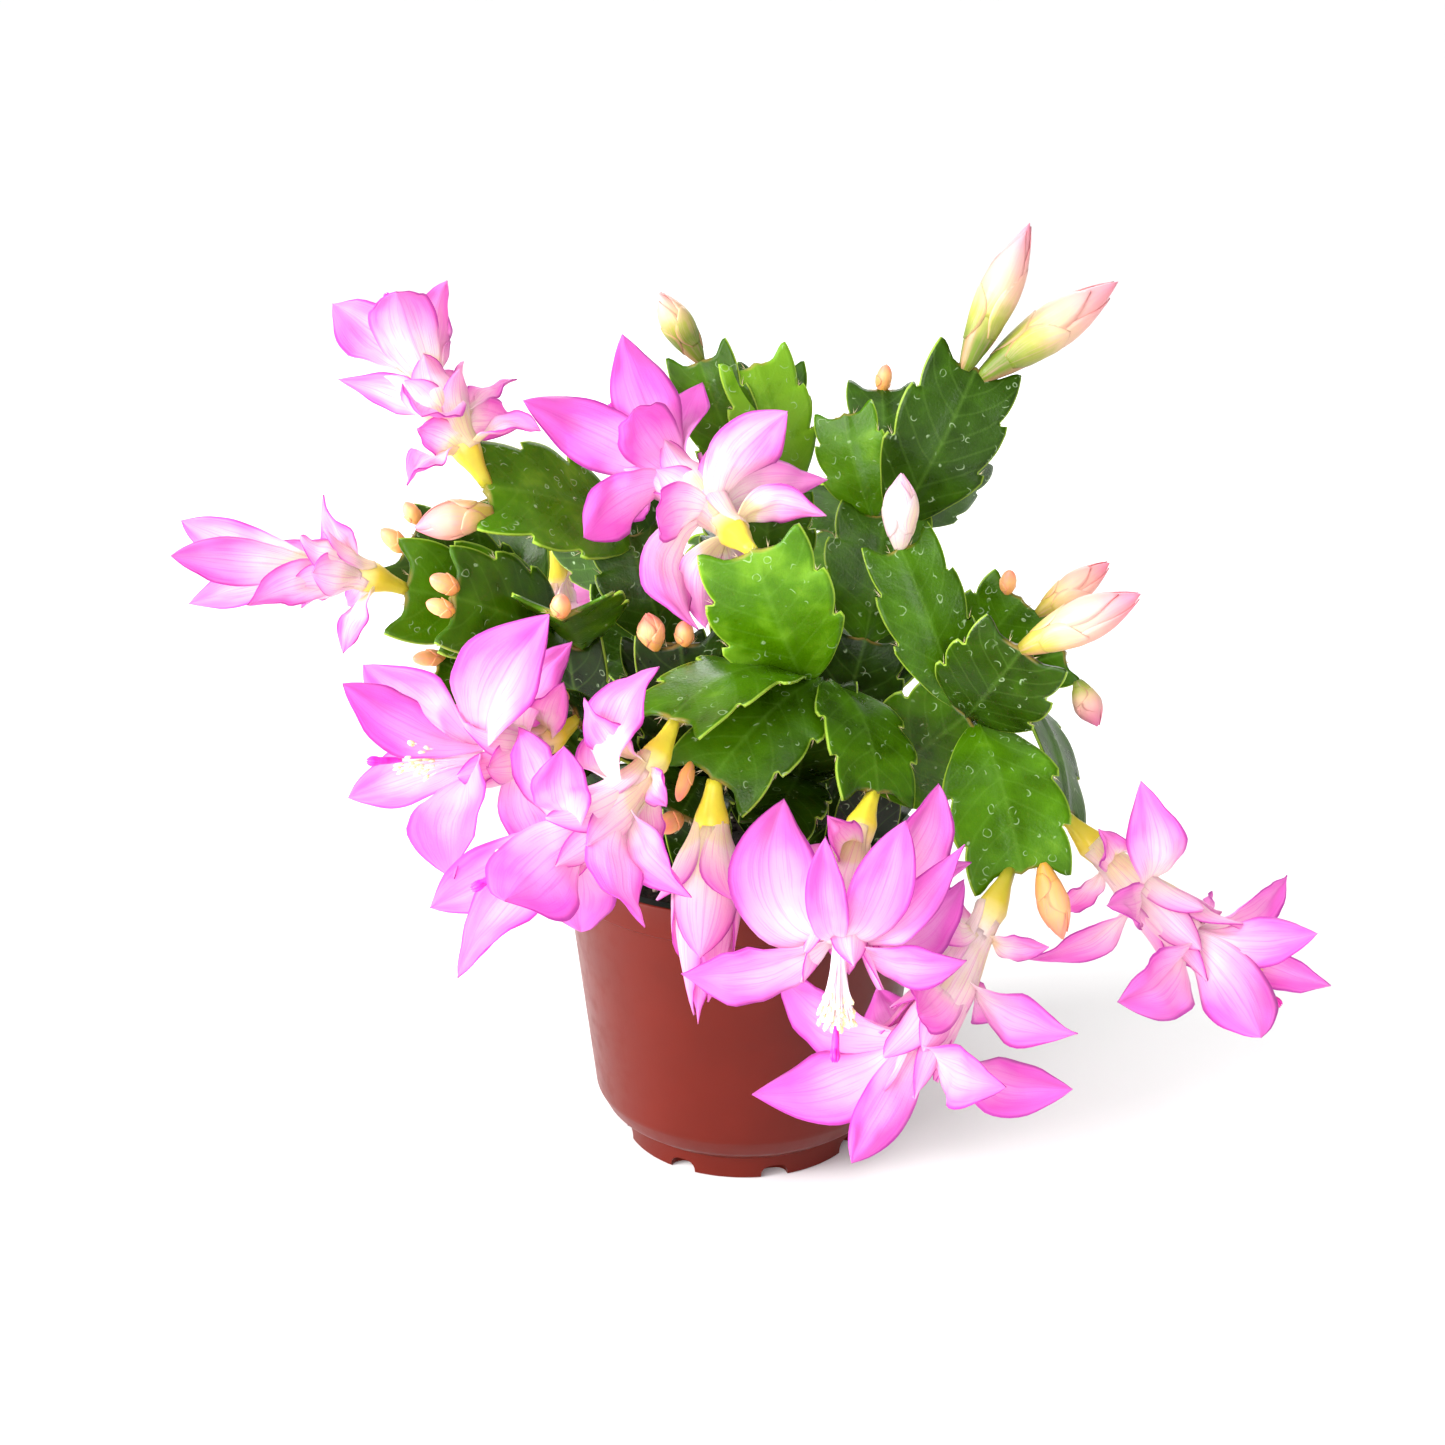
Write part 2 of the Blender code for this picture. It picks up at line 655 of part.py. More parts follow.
def make_pot():
    band_foot = POT_HEIGHT - RIM_BAND
    profile = [
        (0, 0),
        (CHANNEL_INNER, 0),
        (CHANNEL_INNER + CHANNEL_SLOPE, CHANNEL_RISE),
        (CHANNEL_OUTER - CHANNEL_SLOPE, CHANNEL_RISE),
        (CHANNEL_OUTER, 0),
        (FOOT_RADIUS - EDGE_EASE, 0),
        (FOOT_RADIUS, FOOT_HEIGHT),
        (CHAMFER_RADIUS, FOOT_HEIGHT + EDGE_EASE),
        (TOE_RADIUS, TOE_HEIGHT),
        (SHOULDER_RADIUS, SHOULDER_HEIGHT),
        (wall_radius(band_foot), band_foot),
        (RIM_RADIUS - EDGE_EASE, band_foot + EDGE_EASE),
        (RIM_RADIUS, POT_HEIGHT - EDGE_EASE),
        (RIM_RADIUS - EDGE_EASE, POT_HEIGHT),
        (RIM_RADIUS - LIP, POT_HEIGHT),
        (RIM_RADIUS - LIP - EDGE_EASE, POT_HEIGHT - LEDGE_DROP),
    ]
    pot = turned("pot", profile + inner_profile(POT_HEIGHT - LEDGE_DROP, 0), POT_SIDES)
    cutters = []
    for k in range(NOTCHES):
        turn = math.radians(NOTCH_TURN - 90 + 360 * k / NOTCHES)
        size = (NOTCH_DEPTH, NOTCH_WIDTH, 2 * NOTCH_HEIGHT)
        centre = (FOOT_RADIUS, 0, 0)
        cutters.append(box_mesh(f"notch_{k}", size, centre, turn))
    for k in range(DRAIN_HOLES):
        turn = math.radians(NOTCH_TURN - 90 + 360 * k / DRAIN_HOLES)
        centre = Vector((DRAIN_RING * math.cos(turn), DRAIN_RING * math.sin(turn), 0))
        ends = [centre, centre + Vector((0, 0, 2 * FLOOR_TOP))]
        cutters.append(tube_mesh(f"drain_{k}", ends, [DRAIN_RADIUS] * 2, DRAIN_SIDES))
    combine(pot, cutters, "DIFFERENCE")
    pot.data.shade_smooth()
    pot.data.set_sharp_from_angle(angle=math.radians(SHARP_ANGLE))
    pot.data.materials.append(make_material("terracotta_plastic", (0.42, 0.10, 0.05), 0.38))


def make_soil():
    """The root ball. Its top is uneven, and each stem stands in a plain hole in it."""
    draw = random.Random(SOIL_SEED)
    shoulder = SOIL_TOP - SOIL_SHOULDER
    body = inner_profile(shoulder, SOIL_GAP)
    edge = body[0][0]
    profile = body[::-1] + [(edge * share, SOIL_TOP) for share in (*SOIL_RINGS, 0)]
    soil = turned("potting_soil", profile, SOIL_SIDES)
    for vertex in soil.data.vertices:
        if vertex.co.z > (shoulder - SOIL_LUMP) * MM:
            vertex.co.z += draw.uniform(-SOIL_LUMP, SOIL_LUMP) * MM
    holes = []
    for name, (root, _) in STEMS.items():
        bottom = Vector((root[0], root[1], SOIL_TOP - ROOT_DEPTH - CLEARANCE))
        top = Vector((root[0], root[1], SOIL_TOP + ROOT_COLLAR))
        radii = [ROOT_RADIUS + CLEARANCE] * 2
        holes.append(tube_mesh("hole_" + name, [bottom, top], radii, ROOT_SIDES))
    combine(soil, holes, "DIFFERENCE")
    soil.data.materials.append(make_material("peat_soil", (0.02, 0.015, 0.012), 0.95))


def stem_points(name):
    """Start and tip of each pad of a stem, and the vector across each."""
    root, pads = STEMS[name]
    top = Vector((root[0], root[1], SOIL_TOP + ROOT_COLLAR - ROOT_OVERLAP))
    made = []
    for pad in pads:
        tip = Vector(pad.tip)
        start = top.copy()
        if pad.parent:
            _, parent_tip, parent_across = made[pad.parent - 1]
            start = parent_tip + parent_across * pad.shift
        _, across, _ = pad_frame(start, tip, pad.face)
        made.append((start, tip, across))
    return made


def make_stem(name, material):
    root, pads = STEMS[name]
    foot = Vector((root[0], root[1], SOIL_TOP - ROOT_DEPTH))
    collar = Vector((root[0], root[1], SOIL_TOP + ROOT_COLLAR))
    meshes = [tube_mesh(name + "_root", [foot, collar], [ROOT_RADIUS] * 2, ROOT_SIDES)]
    for i, (pad, (start, tip, _)) in enumerate(zip(pads, stem_points(name))):
        meshes.append(pad_mesh(f"{name}_pad_{i + 1}", start, tip, pad))
    fused(name, meshes, material)


def seat_on(stem, number, shift, towards, foot):
    """Where a bloom or bud starts: just off its pad's tip, by the radius of its foot."""
    start, tip, across = stem_points(stem)[number - 1]
    pad = STEMS[stem][1][number - 1]
    (horn, horn_half), (dip, dip_half) = TOOTHED_EDGE[-2:]
    half = (abs(shift) + foot) / (pad.width / 2)
    share = along(dip, horn, max(0.0, (half - dip_half) / (horn_half - dip_half)))
    axis = (tip - start).normalized()
    heading = (towards - tip).normalized()
    level = start + (tip - start) * max(1.0, share) + across * shift
    return level + axis * (SEAT_GAP + foot * axis.cross(heading).length)


def curve_point(a, b, c, share):
    """A point on the quadratic curve from a to c that leaves towards b."""
    return along(along(a, b, share), along(b, c, share), share)


def strip_faces(low, high):
    """Triangles between two rows of one, two or three points across a petal."""
    if len(high) == 1:
        return [(a, b, high[0]) for a, b in zip(low, low[1:])]
    if len(low) == 2:
        return [(low[0], high[1], high[0]), (*low, high[1]), (low[1], high[2], high[1])]
    faces = [(low[0], low[1], high[0]), (low[1], high[1], high[0])]
    return faces + [(low[1], low[2], high[2]), (low[1], high[2], high[1])]


def lean_angle(light, heading, inward):
    """The turn about a petal's heading that brings one of its faces to the light."""
    aimed = light - heading * light.dot(heading)
    if aimed.dot(inward) < 0:
        aimed = -aimed
    side = heading.cross(inward)
    most = math.radians(MOST_LEAN)
    return max(-most, min(most, math.atan2(aimed.dot(side), aimed.dot(inward))))


def petal_mesh(name, shape, root, axis, spoke, petal, light):
    """A petal whose middle line leaves near the axis and turns outwards.

    It leaves a little short of the tilt and ends past it, so that its tip lies there.
    """
    _, tilt, length, width = petal
    rise = min(max(tilt - PETAL_LAG, PETAL_RISE[0]), PETAL_RISE[1])
    point, line = root.copy(), []
    for k in range(PETAL_PATH_STEPS + 1):
        share = k / PETAL_PATH_STEPS
        ease = 1 - (1 - share) ** 2
        angle = math.radians(rise + PETAL_SWING * (tilt - rise) * ease)
        heading = axis * math.cos(angle) + spoke * math.sin(angle)
        inward = axis * math.sin(angle) - spoke * math.cos(angle)
        line.append((point.copy(), heading, inward))
        point += heading * length / PETAL_PATH_STEPS
    lean = lean_angle(light, *line[PETAL_PATH_STEPS // 2][1:])
    middle, normals, rows = [], [], []
    for share, half in shape:
        centre, heading, inward = line[round(share * PETAL_PATH_STEPS)]
        turn = Matrix.Rotation(lean * min(1.0, 2 * share), 3, heading)
        inward = turn @ inward
        across = heading.cross(inward)
        reach = half * width / 2 if share else PETAL_ROOT_WIDTH / 2
        columns = (0,) if share == 1 else (-1, 0, 1) if share else (-1, 1)
        rows.append([len(middle) + i for i in range(len(columns))])
        for column in columns:
            cup = inward * reach * PETAL_CUP * abs(column)
            middle.append(centre + across * reach * column + cup)
            normals.append(inward)
    faces = []
    for low, high in zip(rows, rows[1:]):
        faces += strip_faces(low, high)
    outline = [row[0] for row in rows] + [row[-1] for row in rows[-2::-1]]
    return blade_mesh(name, middle, normals, [PETAL_THICKNESS] * len(middle), faces, outline)


def make_bloom(name, bloom, material):
    mouth, aim = Vector(bloom.mouth), Vector(bloom.aim).normalized()
    base = seat_on(bloom.stem, bloom.pad, bloom.shift, mouth, OVARY_FOOT_RADIUS)
    span = (mouth - base).length
    bend = mouth - aim * span * MOUTH_LEAD
    upward = Vector((0, 0, 1)) if abs(aim.z) < STEEP else Vector((0, -1, 0))
    top = (upward - aim * upward.dot(aim)).normalized()
    light = Vector(LIGHT if mouth.y < 0 else BACK_LIGHT)
    shares = [0.0, *(OVARY_LENGTH / span * s for s in OVARY_SPAN), 1.0]
    radii = [OVARY_FOOT_RADIUS, OVARY_RADIUS, TUBE_RADIUS, MOUTH_RADIUS]
    centres = [curve_point(base, bend, mouth, s) for s in shares]
    meshes = [tube_mesh(name + "_tube", centres, radii, BLOOM_SIDES, upward)]
    column_end = mouth + aim * COLUMN_LENGTH
    style_end = column_end + aim * STYLE_LENGTH
    centres = [mouth - aim * COLUMN_SINK, column_end, style_end]
    radii = [COLUMN_RADIUS, COLUMN_RADIUS, STYLE_RADIUS]
    meshes.append(tube_mesh(name + "_column", centres, radii, COLUMN_SIDES))
    tiers = [
        (bloom.inner, INNER_START, BROAD_PETAL),
        (bloom.outer, OUTER_START, SLIM_PETAL),
        (bloom.sepals, SEPAL_START, SLIM_PETAL),
    ]
    for t, (petals, start, shape) in enumerate(tiers):
        origin = curve_point(base, bend, mouth, start)
        for k, petal in enumerate(petals):
            spoke = Matrix.Rotation(math.radians(petal[0]), 3, aim) @ top
            root = origin + spoke * TUBE_RADIUS * ROOT_INSET - aim
            piece = f"{name}_petal_{t}_{k}"
            meshes.append(petal_mesh(piece, shape, root, aim, spoke, petal, light))
    fused(name, meshes, material)


def make_bud(name, bud, material):
    """A pointed bud: a narrow foot, the ovary's shoulder, and the wrapped petals."""
    tip = Vector(bud.tip)
    base = seat_on(bud.stem, bud.pad, bud.shift, tip, BUD_PROFILE[0][1] * bud.girth)
    centres = [along(base, tip, share) for share, _ in BUD_PROFILE]
    radii = [half * bud.girth for _, half in BUD_PROFILE]
    fused(name, [tube_mesh(name, centres, radii, BUD_SIDES)], material)


def main():
    for old in list(bpy.data.objects):
        bpy.data.objects.remove(old)
    make_pot()
    make_soil()
    leaf = make_material("leaf_green", (0.09, 0.26, 0.03), 0.35)
    petal = make_material("petal_pink", (0.86, 0.30, 0.80), 0.5)
    bud_skin = make_material("bud_cream", (0.85, 0.62, 0.42), 0.45)
    for name in STEMS:
        make_stem(name, leaf)
    for name, bloom in BLOOMS.items():
        make_bloom(name, bloom, petal)
    for name, bud in BUDS.items():
        make_bud(name, bud, bud_skin)


main()
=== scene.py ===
"""Looks of a potted Thanksgiving cactus, Blender 4.5, metres, +Z up.

Flat toothed pads, layered pink blooms and pointed buds grow from a small nursery pot.
Lengths in the tables are in millimetres. The plant's showiest side looks along -Y.
"""

import json
import math
import random
from collections import namedtuple

import bpy
from bpy.props import FloatProperty, FloatVectorProperty, IntProperty, PointerProperty
from mathutils import Matrix, Vector, noise

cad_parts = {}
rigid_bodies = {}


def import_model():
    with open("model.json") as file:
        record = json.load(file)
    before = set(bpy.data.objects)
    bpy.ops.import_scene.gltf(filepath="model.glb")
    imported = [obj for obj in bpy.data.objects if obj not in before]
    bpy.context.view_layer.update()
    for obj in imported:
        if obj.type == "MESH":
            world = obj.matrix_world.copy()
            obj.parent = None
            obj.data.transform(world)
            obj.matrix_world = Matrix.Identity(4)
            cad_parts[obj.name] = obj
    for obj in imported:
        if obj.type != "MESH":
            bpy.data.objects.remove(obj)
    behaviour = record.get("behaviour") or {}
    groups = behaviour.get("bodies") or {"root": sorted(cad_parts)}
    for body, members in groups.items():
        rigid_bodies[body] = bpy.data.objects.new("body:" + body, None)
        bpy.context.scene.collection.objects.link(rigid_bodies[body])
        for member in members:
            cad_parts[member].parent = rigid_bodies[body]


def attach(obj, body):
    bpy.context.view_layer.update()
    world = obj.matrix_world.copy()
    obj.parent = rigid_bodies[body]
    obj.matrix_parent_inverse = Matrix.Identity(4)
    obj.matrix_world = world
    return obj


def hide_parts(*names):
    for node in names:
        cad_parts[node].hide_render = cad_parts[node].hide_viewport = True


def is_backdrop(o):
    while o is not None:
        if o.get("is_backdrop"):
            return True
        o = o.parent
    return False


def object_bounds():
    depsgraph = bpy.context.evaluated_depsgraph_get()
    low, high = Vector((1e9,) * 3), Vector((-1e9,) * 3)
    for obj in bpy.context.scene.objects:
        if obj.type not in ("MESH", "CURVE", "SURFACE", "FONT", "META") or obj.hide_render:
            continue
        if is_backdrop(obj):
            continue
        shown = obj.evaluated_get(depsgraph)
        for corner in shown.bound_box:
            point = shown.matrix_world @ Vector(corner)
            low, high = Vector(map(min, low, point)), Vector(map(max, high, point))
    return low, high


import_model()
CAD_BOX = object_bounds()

bl_info = {
    "name": "Potted Thanksgiving Cactus",
    "version": (1, 0, 0),
    "blender": (4, 5, 0),
    "location": "View3D > Sidebar > Cactus",
    "description": "Models a flowering Thanksgiving cactus in its nursery pot",
    "category": "Object",
}

MM = 0.001
BODY = "root"
UV_NAME = "growth"
TONE = "tone"
WALL_GROUP = "wall"

# Pot: the outer radii and heights of the moulded profile
RIM_RADIUS = 42.5
POT_HEIGHT = 73.0
RIM_BAND = 7.6
RIM_STEP = 1.2
SHOULDER_RADIUS = 35.2
SHOULDER_HEIGHT = 13.0
CHAMFER_RADIUS = 28.9
FOOT_RADIUS = 28.2
FOOT_HEIGHT = 5.3
TOE_RADIUS = 33.2
TOE_HEIGHT = 9.0
EDGE_EASE = 0.4
POT_WALL = 1.3
LIP = 3.0
LEDGE_DROP = 2.4
LEDGE = 1.6
FLOOR_TOP = 3.8
CHANNEL_OUTER = 24.0
CHANNEL_INNER = 13.0
CHANNEL_RISE = 2.2
CHANNEL_SLOPE = 1.2
POT_SIDES = 128
SHARP_ANGLE = 35
NOTCHES = 8
NOTCH_WIDTH = 6.4
NOTCH_DEPTH = 8.0
NOTCH_HEIGHT = 2.9
NOTCH_TURN = 14.5
NOTCH_EASE = 2.3
NOTCH_SEGMENTS = 5
DRAIN_HOLES = 4
DRAIN_RADIUS = 2.0
DRAIN_RING = 18.5
DRAIN_SIDES = 24

# Soil. Its lumps and grit are (waves per mm, height). So is the roughness of a crumb, on
# a ball of radius 1.
SOIL_TOP = 65.0
SOIL_GAP = 0.45
SOIL_RINGS = 26
SOIL_SIDES = 72
SOIL_LUMPS = (0.09, 1.1)
SOIL_GRIT = (0.45, 0.45)
SOIL_MARGIN = 1.5
CRUMB_SIZE = (0.4, 1.5)
CRUMB_NARROW = (0.6, 1)
CRUMB_FLAT = 0.7
CRUMB_RISE = 0.3
CRUMB_ROUGHNESS = (1.7, 0.35)
PERLITE_SIZE = (0.45, 0.9)
PERLITE_EVERY = 14
ROOT_RADIUS = 1.7
ROOT_DEPTH = 3
ROOT_COLLAR = 4.4
ROOT_OVERLAP = 1.0

# Pads: shares of a pad's length and half width along its edge, then the rows of the blank
# since the line before, and how far the edge bulges there. The toothed edge ends in two
# horns. A rib is (share of length, thickness).
TOOTHED_EDGE = [
    (-0.04, 0.13, 0, 0.0), (0.20, 0.70, 7, 0.05), (0.42, 1.02, 7, 0.03),
    (0.47, 0.87, 3, -0.03), (0.73, 1.02, 8, 0.06), (0.78, 0.83, 3, -0.03),
    (1.0, 0.84, 8, 0.07),
]
PLAIN_EDGE = [
    (-0.04, 0.30, 0, 0.0), (0.30, 0.85, 8, 0.04), (0.70, 1.0, 8, 0.03),
    (1.0, 0.78, 8, 0.05),
]
TOOTHED_RIB = [(-0.04, 1.5), (0.20, 2.2), (0.445, 2.4), (0.755, 2.1), (1.0, 1.5)]
PLAIN_RIB = [(-0.04, 2.2), (0.45, 2.8), (1.0, 1.8)]
TIP_HALF = 0.84
HORN_TIP = 1.07
DIP = 0.985
AREOLE_RISE = 0.02
TOOTH_RISE = 0.03
TOOTH_PROUD = 0.05
TOOTH_POWER = 8
PAD_COLUMNS = 16
COLUMN_CROWDING = 0.85
PAD_RIDGE = 0.7
FLANK_POWER = 1.3
RIDGE_REACH = 0.09
FOLD_EASE = 0.012
FOLD_REST = 0.11
PAD_WAVE = 0.35
PAD_WAVES = 13
# A pad's tone is a base, a step for each pad between it and the root, and a random spread.
# The step makes the outer, younger pads lighter and paints the inner pads darker as painted
# shade.
PAD_TONE = 0.06
ORDER_TONE_AND_SHADE = 0.13
TONE_RANGE = (-0.08, 0.1)

# Tufts of bristles: (share of half width, share of length, column) on each side, and at
# a pad's end
SIDE_TUFTS = [(0.9, 0.46, 0.95), (0.85, 0.77, 0.95)]
END_TUFT = (0.25, DIP, 0.3)
BRISTLES = 3
BRISTLE_LENGTH = (1.0, 2.6)
BRISTLE_RADIUS = 0.07

# Blooms and buds
PETAL_ROOT_WIDTH = 2.4
PETAL_FRILL = 0.85
PETAL_CRUMPLE = 1.1
PETAL_FLUTE = 0.3
PETAL_PATH_STEPS = 24
PETAL_LAG = 25
PETAL_SWING = 1.5
PETAL_RISE = (4, 75)
PETAL_WALL = 0.5
HEM_THINNING = 0.22
TIP_THINNING = 0.1
BUD_WALL = 0.3
BUD_HEM_THINNING = 0.15
STEEP = 0.85
INNER_START = 1.0
OUTER_START = 0.6
SEPAL_START = 0.36
SEPAL_TINT = 0.9
TINT_RANGE = (-0.1, 0.1)
ROOT_INSET = 0.6
MOUTH_LEAD = 0.45
OVARY_LENGTH = 9.5
OVARY_FOOT_RADIUS = 1.3
OVARY_WAIST_RADIUS = 1.9
OVARY_RADIUS = 3.3
OVARY_RIBS = 0.06
TUBE_RADIUS = 3.0
MOUTH_RADIUS = 3.9
SEAT_DEPTH = 0.7
TUBE_SCALE = 30.0
LIGHT = (0.0, -0.9, 0.44)
BACK_LIGHT = (0.0, 0.9, 0.44)
MOST_LEAN = 50

# The least and the most of what is drawn for each petal, in the order in which it is drawn
PETAL_RANGES = {
    "phase": (0, 6),
    "pace": (6, 11),
    "curl": (-0.06, 0.2),
    "sweep": (-0.1, 0.1),
    "cup": (0.12, 0.42),
    "crease": (0.2, 1.0),
    "skew": (-0.14, 0.14),
    "twist": (-0.5, 0.5),
    "taper": (0.0, 0.4),
}

# Petals that wrap a tube or a bud. Each one stands GOLDEN_TURN further round, in radians.
# SLEEVE_LIFT and BUD_START are (first, step). True is for large buds.
GOLDEN_TURN = 2.4
SLEEVE_PETALS = 8
SLEEVE_START = (0.8, 0.95)
SLEEVE_ROW = 0.08
SLEEVE_END = (0.95, 1.35)
SLEEVE_SHORTEST = 0.35
SLEEVE_LIFT = (2.1, 0.25)
SLEEVE_HALF_ANGLE = 0.95
SLEEVE_FLARE = 12.0
SLEEVE_TWIST = 0.25
SLEEVE_STRAY = (-0.3, 0.3)
SLEEVE_TINT = (0.65, 1.0)
SLEEVE_SPAN = (0.0, 0.6)
BUD_WRAPS = {True: 6, False: 2}
BUD_LIFT = {True: 0.22, False: 0.1}
BUD_START = (0.12, 0.06)
BUD_REACH = (0.3, 0.4)
BUD_END = 0.98
BUD_HALF_ANGLE = 1.15
BUD_FLARE = 0.3
BUD_TWIST = 0.35
BUD_STRAY = (-0.2, 0.2)
BUD_GIRTH = 0.97

# Stamens and style. Lines are (share of length, radius).
COLUMN_LENGTH = 17.0
COLUMN_ROOT = 2
STYLE_LENGTH = 6.0
STYLE_PALE = 0.74
STAMEN_LENGTH = (0.62, 1.0)
STAMEN_SPREAD = (0.6, 4.0)
STAMEN_BUNDLE = (0.5, 1.1)
ANTHER_LEAN = (-0.3, 0.6)
ANTHER_SIZE = (0.52, 0.42, 0.95)
FILAMENT = [(0.0, 0.34), (0.5, 0.3), (1.0, 0.22)]
STYLE = [(0.0, 0.5), (0.6, 0.45), (1.0, 0.4)]
STIGMA = [(0.0, 0.42), (0.3, 0.7), (0.8, 0.8), (1.0, 0.7)]
STIGMA_LOBE = [(0.0, 0.35), (0.5, 0.5), (0.85, 0.36), (1.0, 0.1)]
STIGMA_LOBES = 6
LOBE_ROOT = 2.6
LOBE_TIP = 0.6
LOBE_SPREAD = 0.45
LOBE_BELLY = 0.75

# Columns or sides, and rows or rings, of the blanks that are copied
PETAL_MESH = (12, 20)
WRAP_MESH = (8, 14)
TUBE_MESH = (20, 14)
BUD_MESH = (20, 18)
COLLAR_MESH = (14, 4)
THREAD_MESH = (4, 5)
LOBE_MESH = (6, 5)

# First seeds of the random draws
SOIL_SEED = 11
BLOOM_SEED = 100
BUD_SEED = 200

# Sizes of the finishes' patterns, in mm. The pores of a pad and the scuffs of the pot
# are too fine to show, so they are drawn about four times as coarse as they are.
PIGMENT_CLOUD = 17.0
MELT_STREAK = (1.1, 1.1, 17.0)
SCUFF = 3.8
PEAT_CRUMB = 1.1
PAD_CLOUD = 7.5
PAD_LENGTH = 32.0
SIDE_VEIN_GAP = 7.6
PAD_PORE = 0.6
DROP_GAP = 3.0
DROP_RADIUS = 0.85
DROP_WARP = 1.6
DROP_BEND = 2.5
DROP_PATCH = 2.0
PETAL_CLOUD = 11.0
PETAL_BREADTH = 17.0
PETAL_VEIN = 0.5
PETAL_CELL = 0.5
OVARY_FLECK = 1.4
BUD_CLOUD = 3.3
BARK_CLOUD = 2.0
BRISTLE_CLOUD = 2.5
GRAIN_CLOUD = 1.1
THREAD_CLOUD = 3.3
STIGMA_CLOUD = 2.0

# Veins: grains across a petal, and along it
PETAL_VEINS = (PETAL_BREADTH / PETAL_VEIN, 2.5)
BUD_VEINS = (22.0, 3.0)

# The share of light that passes through
PETAL_GLOW = 0.5
THREAD_GLOW = 0.2
BUD_GLOW = 0.15
OVARY_GLOW = 0.12

# Stage, in metres. Lights are (name, place, spread in degrees or width, strength or power).
FLOOR_SIZE = 80
HORIZON_GLOW = (0.06, 0.3)
LIT_SPOT = (0, 0, 0.1)
BROAD_LIGHTS = [
    ("broad_key_light", (-1.2, -0.85, 1.0), 40, 1.0),
    ("broad_top_light", (-0.2, -0.2, 1.0), 50, 0.35),
]
STUDIO_LIGHTS = [
    ("left_panel", (-0.75, -0.3, 0.25), 0.3, 9.0),
    ("front_panel", (-0.1, -0.85, 0.35), 0.5, 5.0),
    ("back_panel", (0.1, 0.8, 0.6), 0.6, 6.0),
]
CAMERA_PLACE = (-0.005, -0.5262, 0.2935)
CAMERA_TILT = 70
SENSOR_WIDTH = 36

# Shares of a petal's length and half width, base to tip
BROAD_PETAL = [
    (0.0, 0.20), (0.14, 0.54), (0.30, 0.82), (0.46, 0.98), (0.62, 1.0),
    (0.76, 0.84), (0.88, 0.52), (0.96, 0.20), (1.0, 0.0),
]
SLIM_PETAL = [
    (0.0, 0.30), (0.16, 0.66), (0.34, 0.94), (0.50, 1.0),
    (0.68, 0.84), (0.84, 0.50), (0.95, 0.18), (1.0, 0.0),
]
WRAP_PETAL = [
    (0.0, 0.45), (0.22, 0.9), (0.5, 1.0), (0.7, 0.84),
    (0.86, 0.5), (0.95, 0.2), (1.0, 0.0),
]

# Shares of a bud's length and girth, base to tip. A young bud is blunt, and its girth is
# LARGE_BUD at most.
BUD_PROFILE = [
    (0.0, 0.16), (0.08, 0.25), (0.20, 0.36), (0.38, 0.46), (0.54, 0.50),
    (0.70, 0.42), (0.84, 0.26), (0.94, 0.11), (1.0, 0.0),
]
YOUNG_PROFILE = [
    (0.0, 0.20), (0.08, 0.32), (0.22, 0.44), (0.42, 0.51), (0.60, 0.51),
    (0.78, 0.42), (0.91, 0.26), (0.98, 0.10), (1.0, 0.0),
]
LARGE_BUD = 4.6

# A pad grows from the tip of its parent, numbered from 1 in its stem; 0 is the root.
# face is the way its broad upper side looks, shift moves its neck across the parent's
# tip, arch is its sag as a share of its length, and fold lifts its edges.
Pad = namedtuple(
    "Pad", "parent tip face width shift arch fold", defaults=(23.0, 0.0, 0.08, 0.10)
)

# A bloom grows from a pad's tip through its mouth, where it looks along aim. Its inner
# petals grow at the mouth, its outer ones further down the tube, and its sepals by the
# ovary. Each of them is (turn about aim, tilt from aim, length, width).
Bloom = namedtuple("Bloom", "stem pad mouth aim inner outer sepals shift", defaults=(0.0,))

# A bud grows from a pad's tip to its own tip.
Bud = namedtuple("Bud", "stem pad tip girth shift", defaults=(0.0,))


def ring(count, tilt, length, width, turn=0):
    """Petals evenly round a bloom."""
    return [(turn + 360 * k / count, tilt, length, width) for k in range(count)]


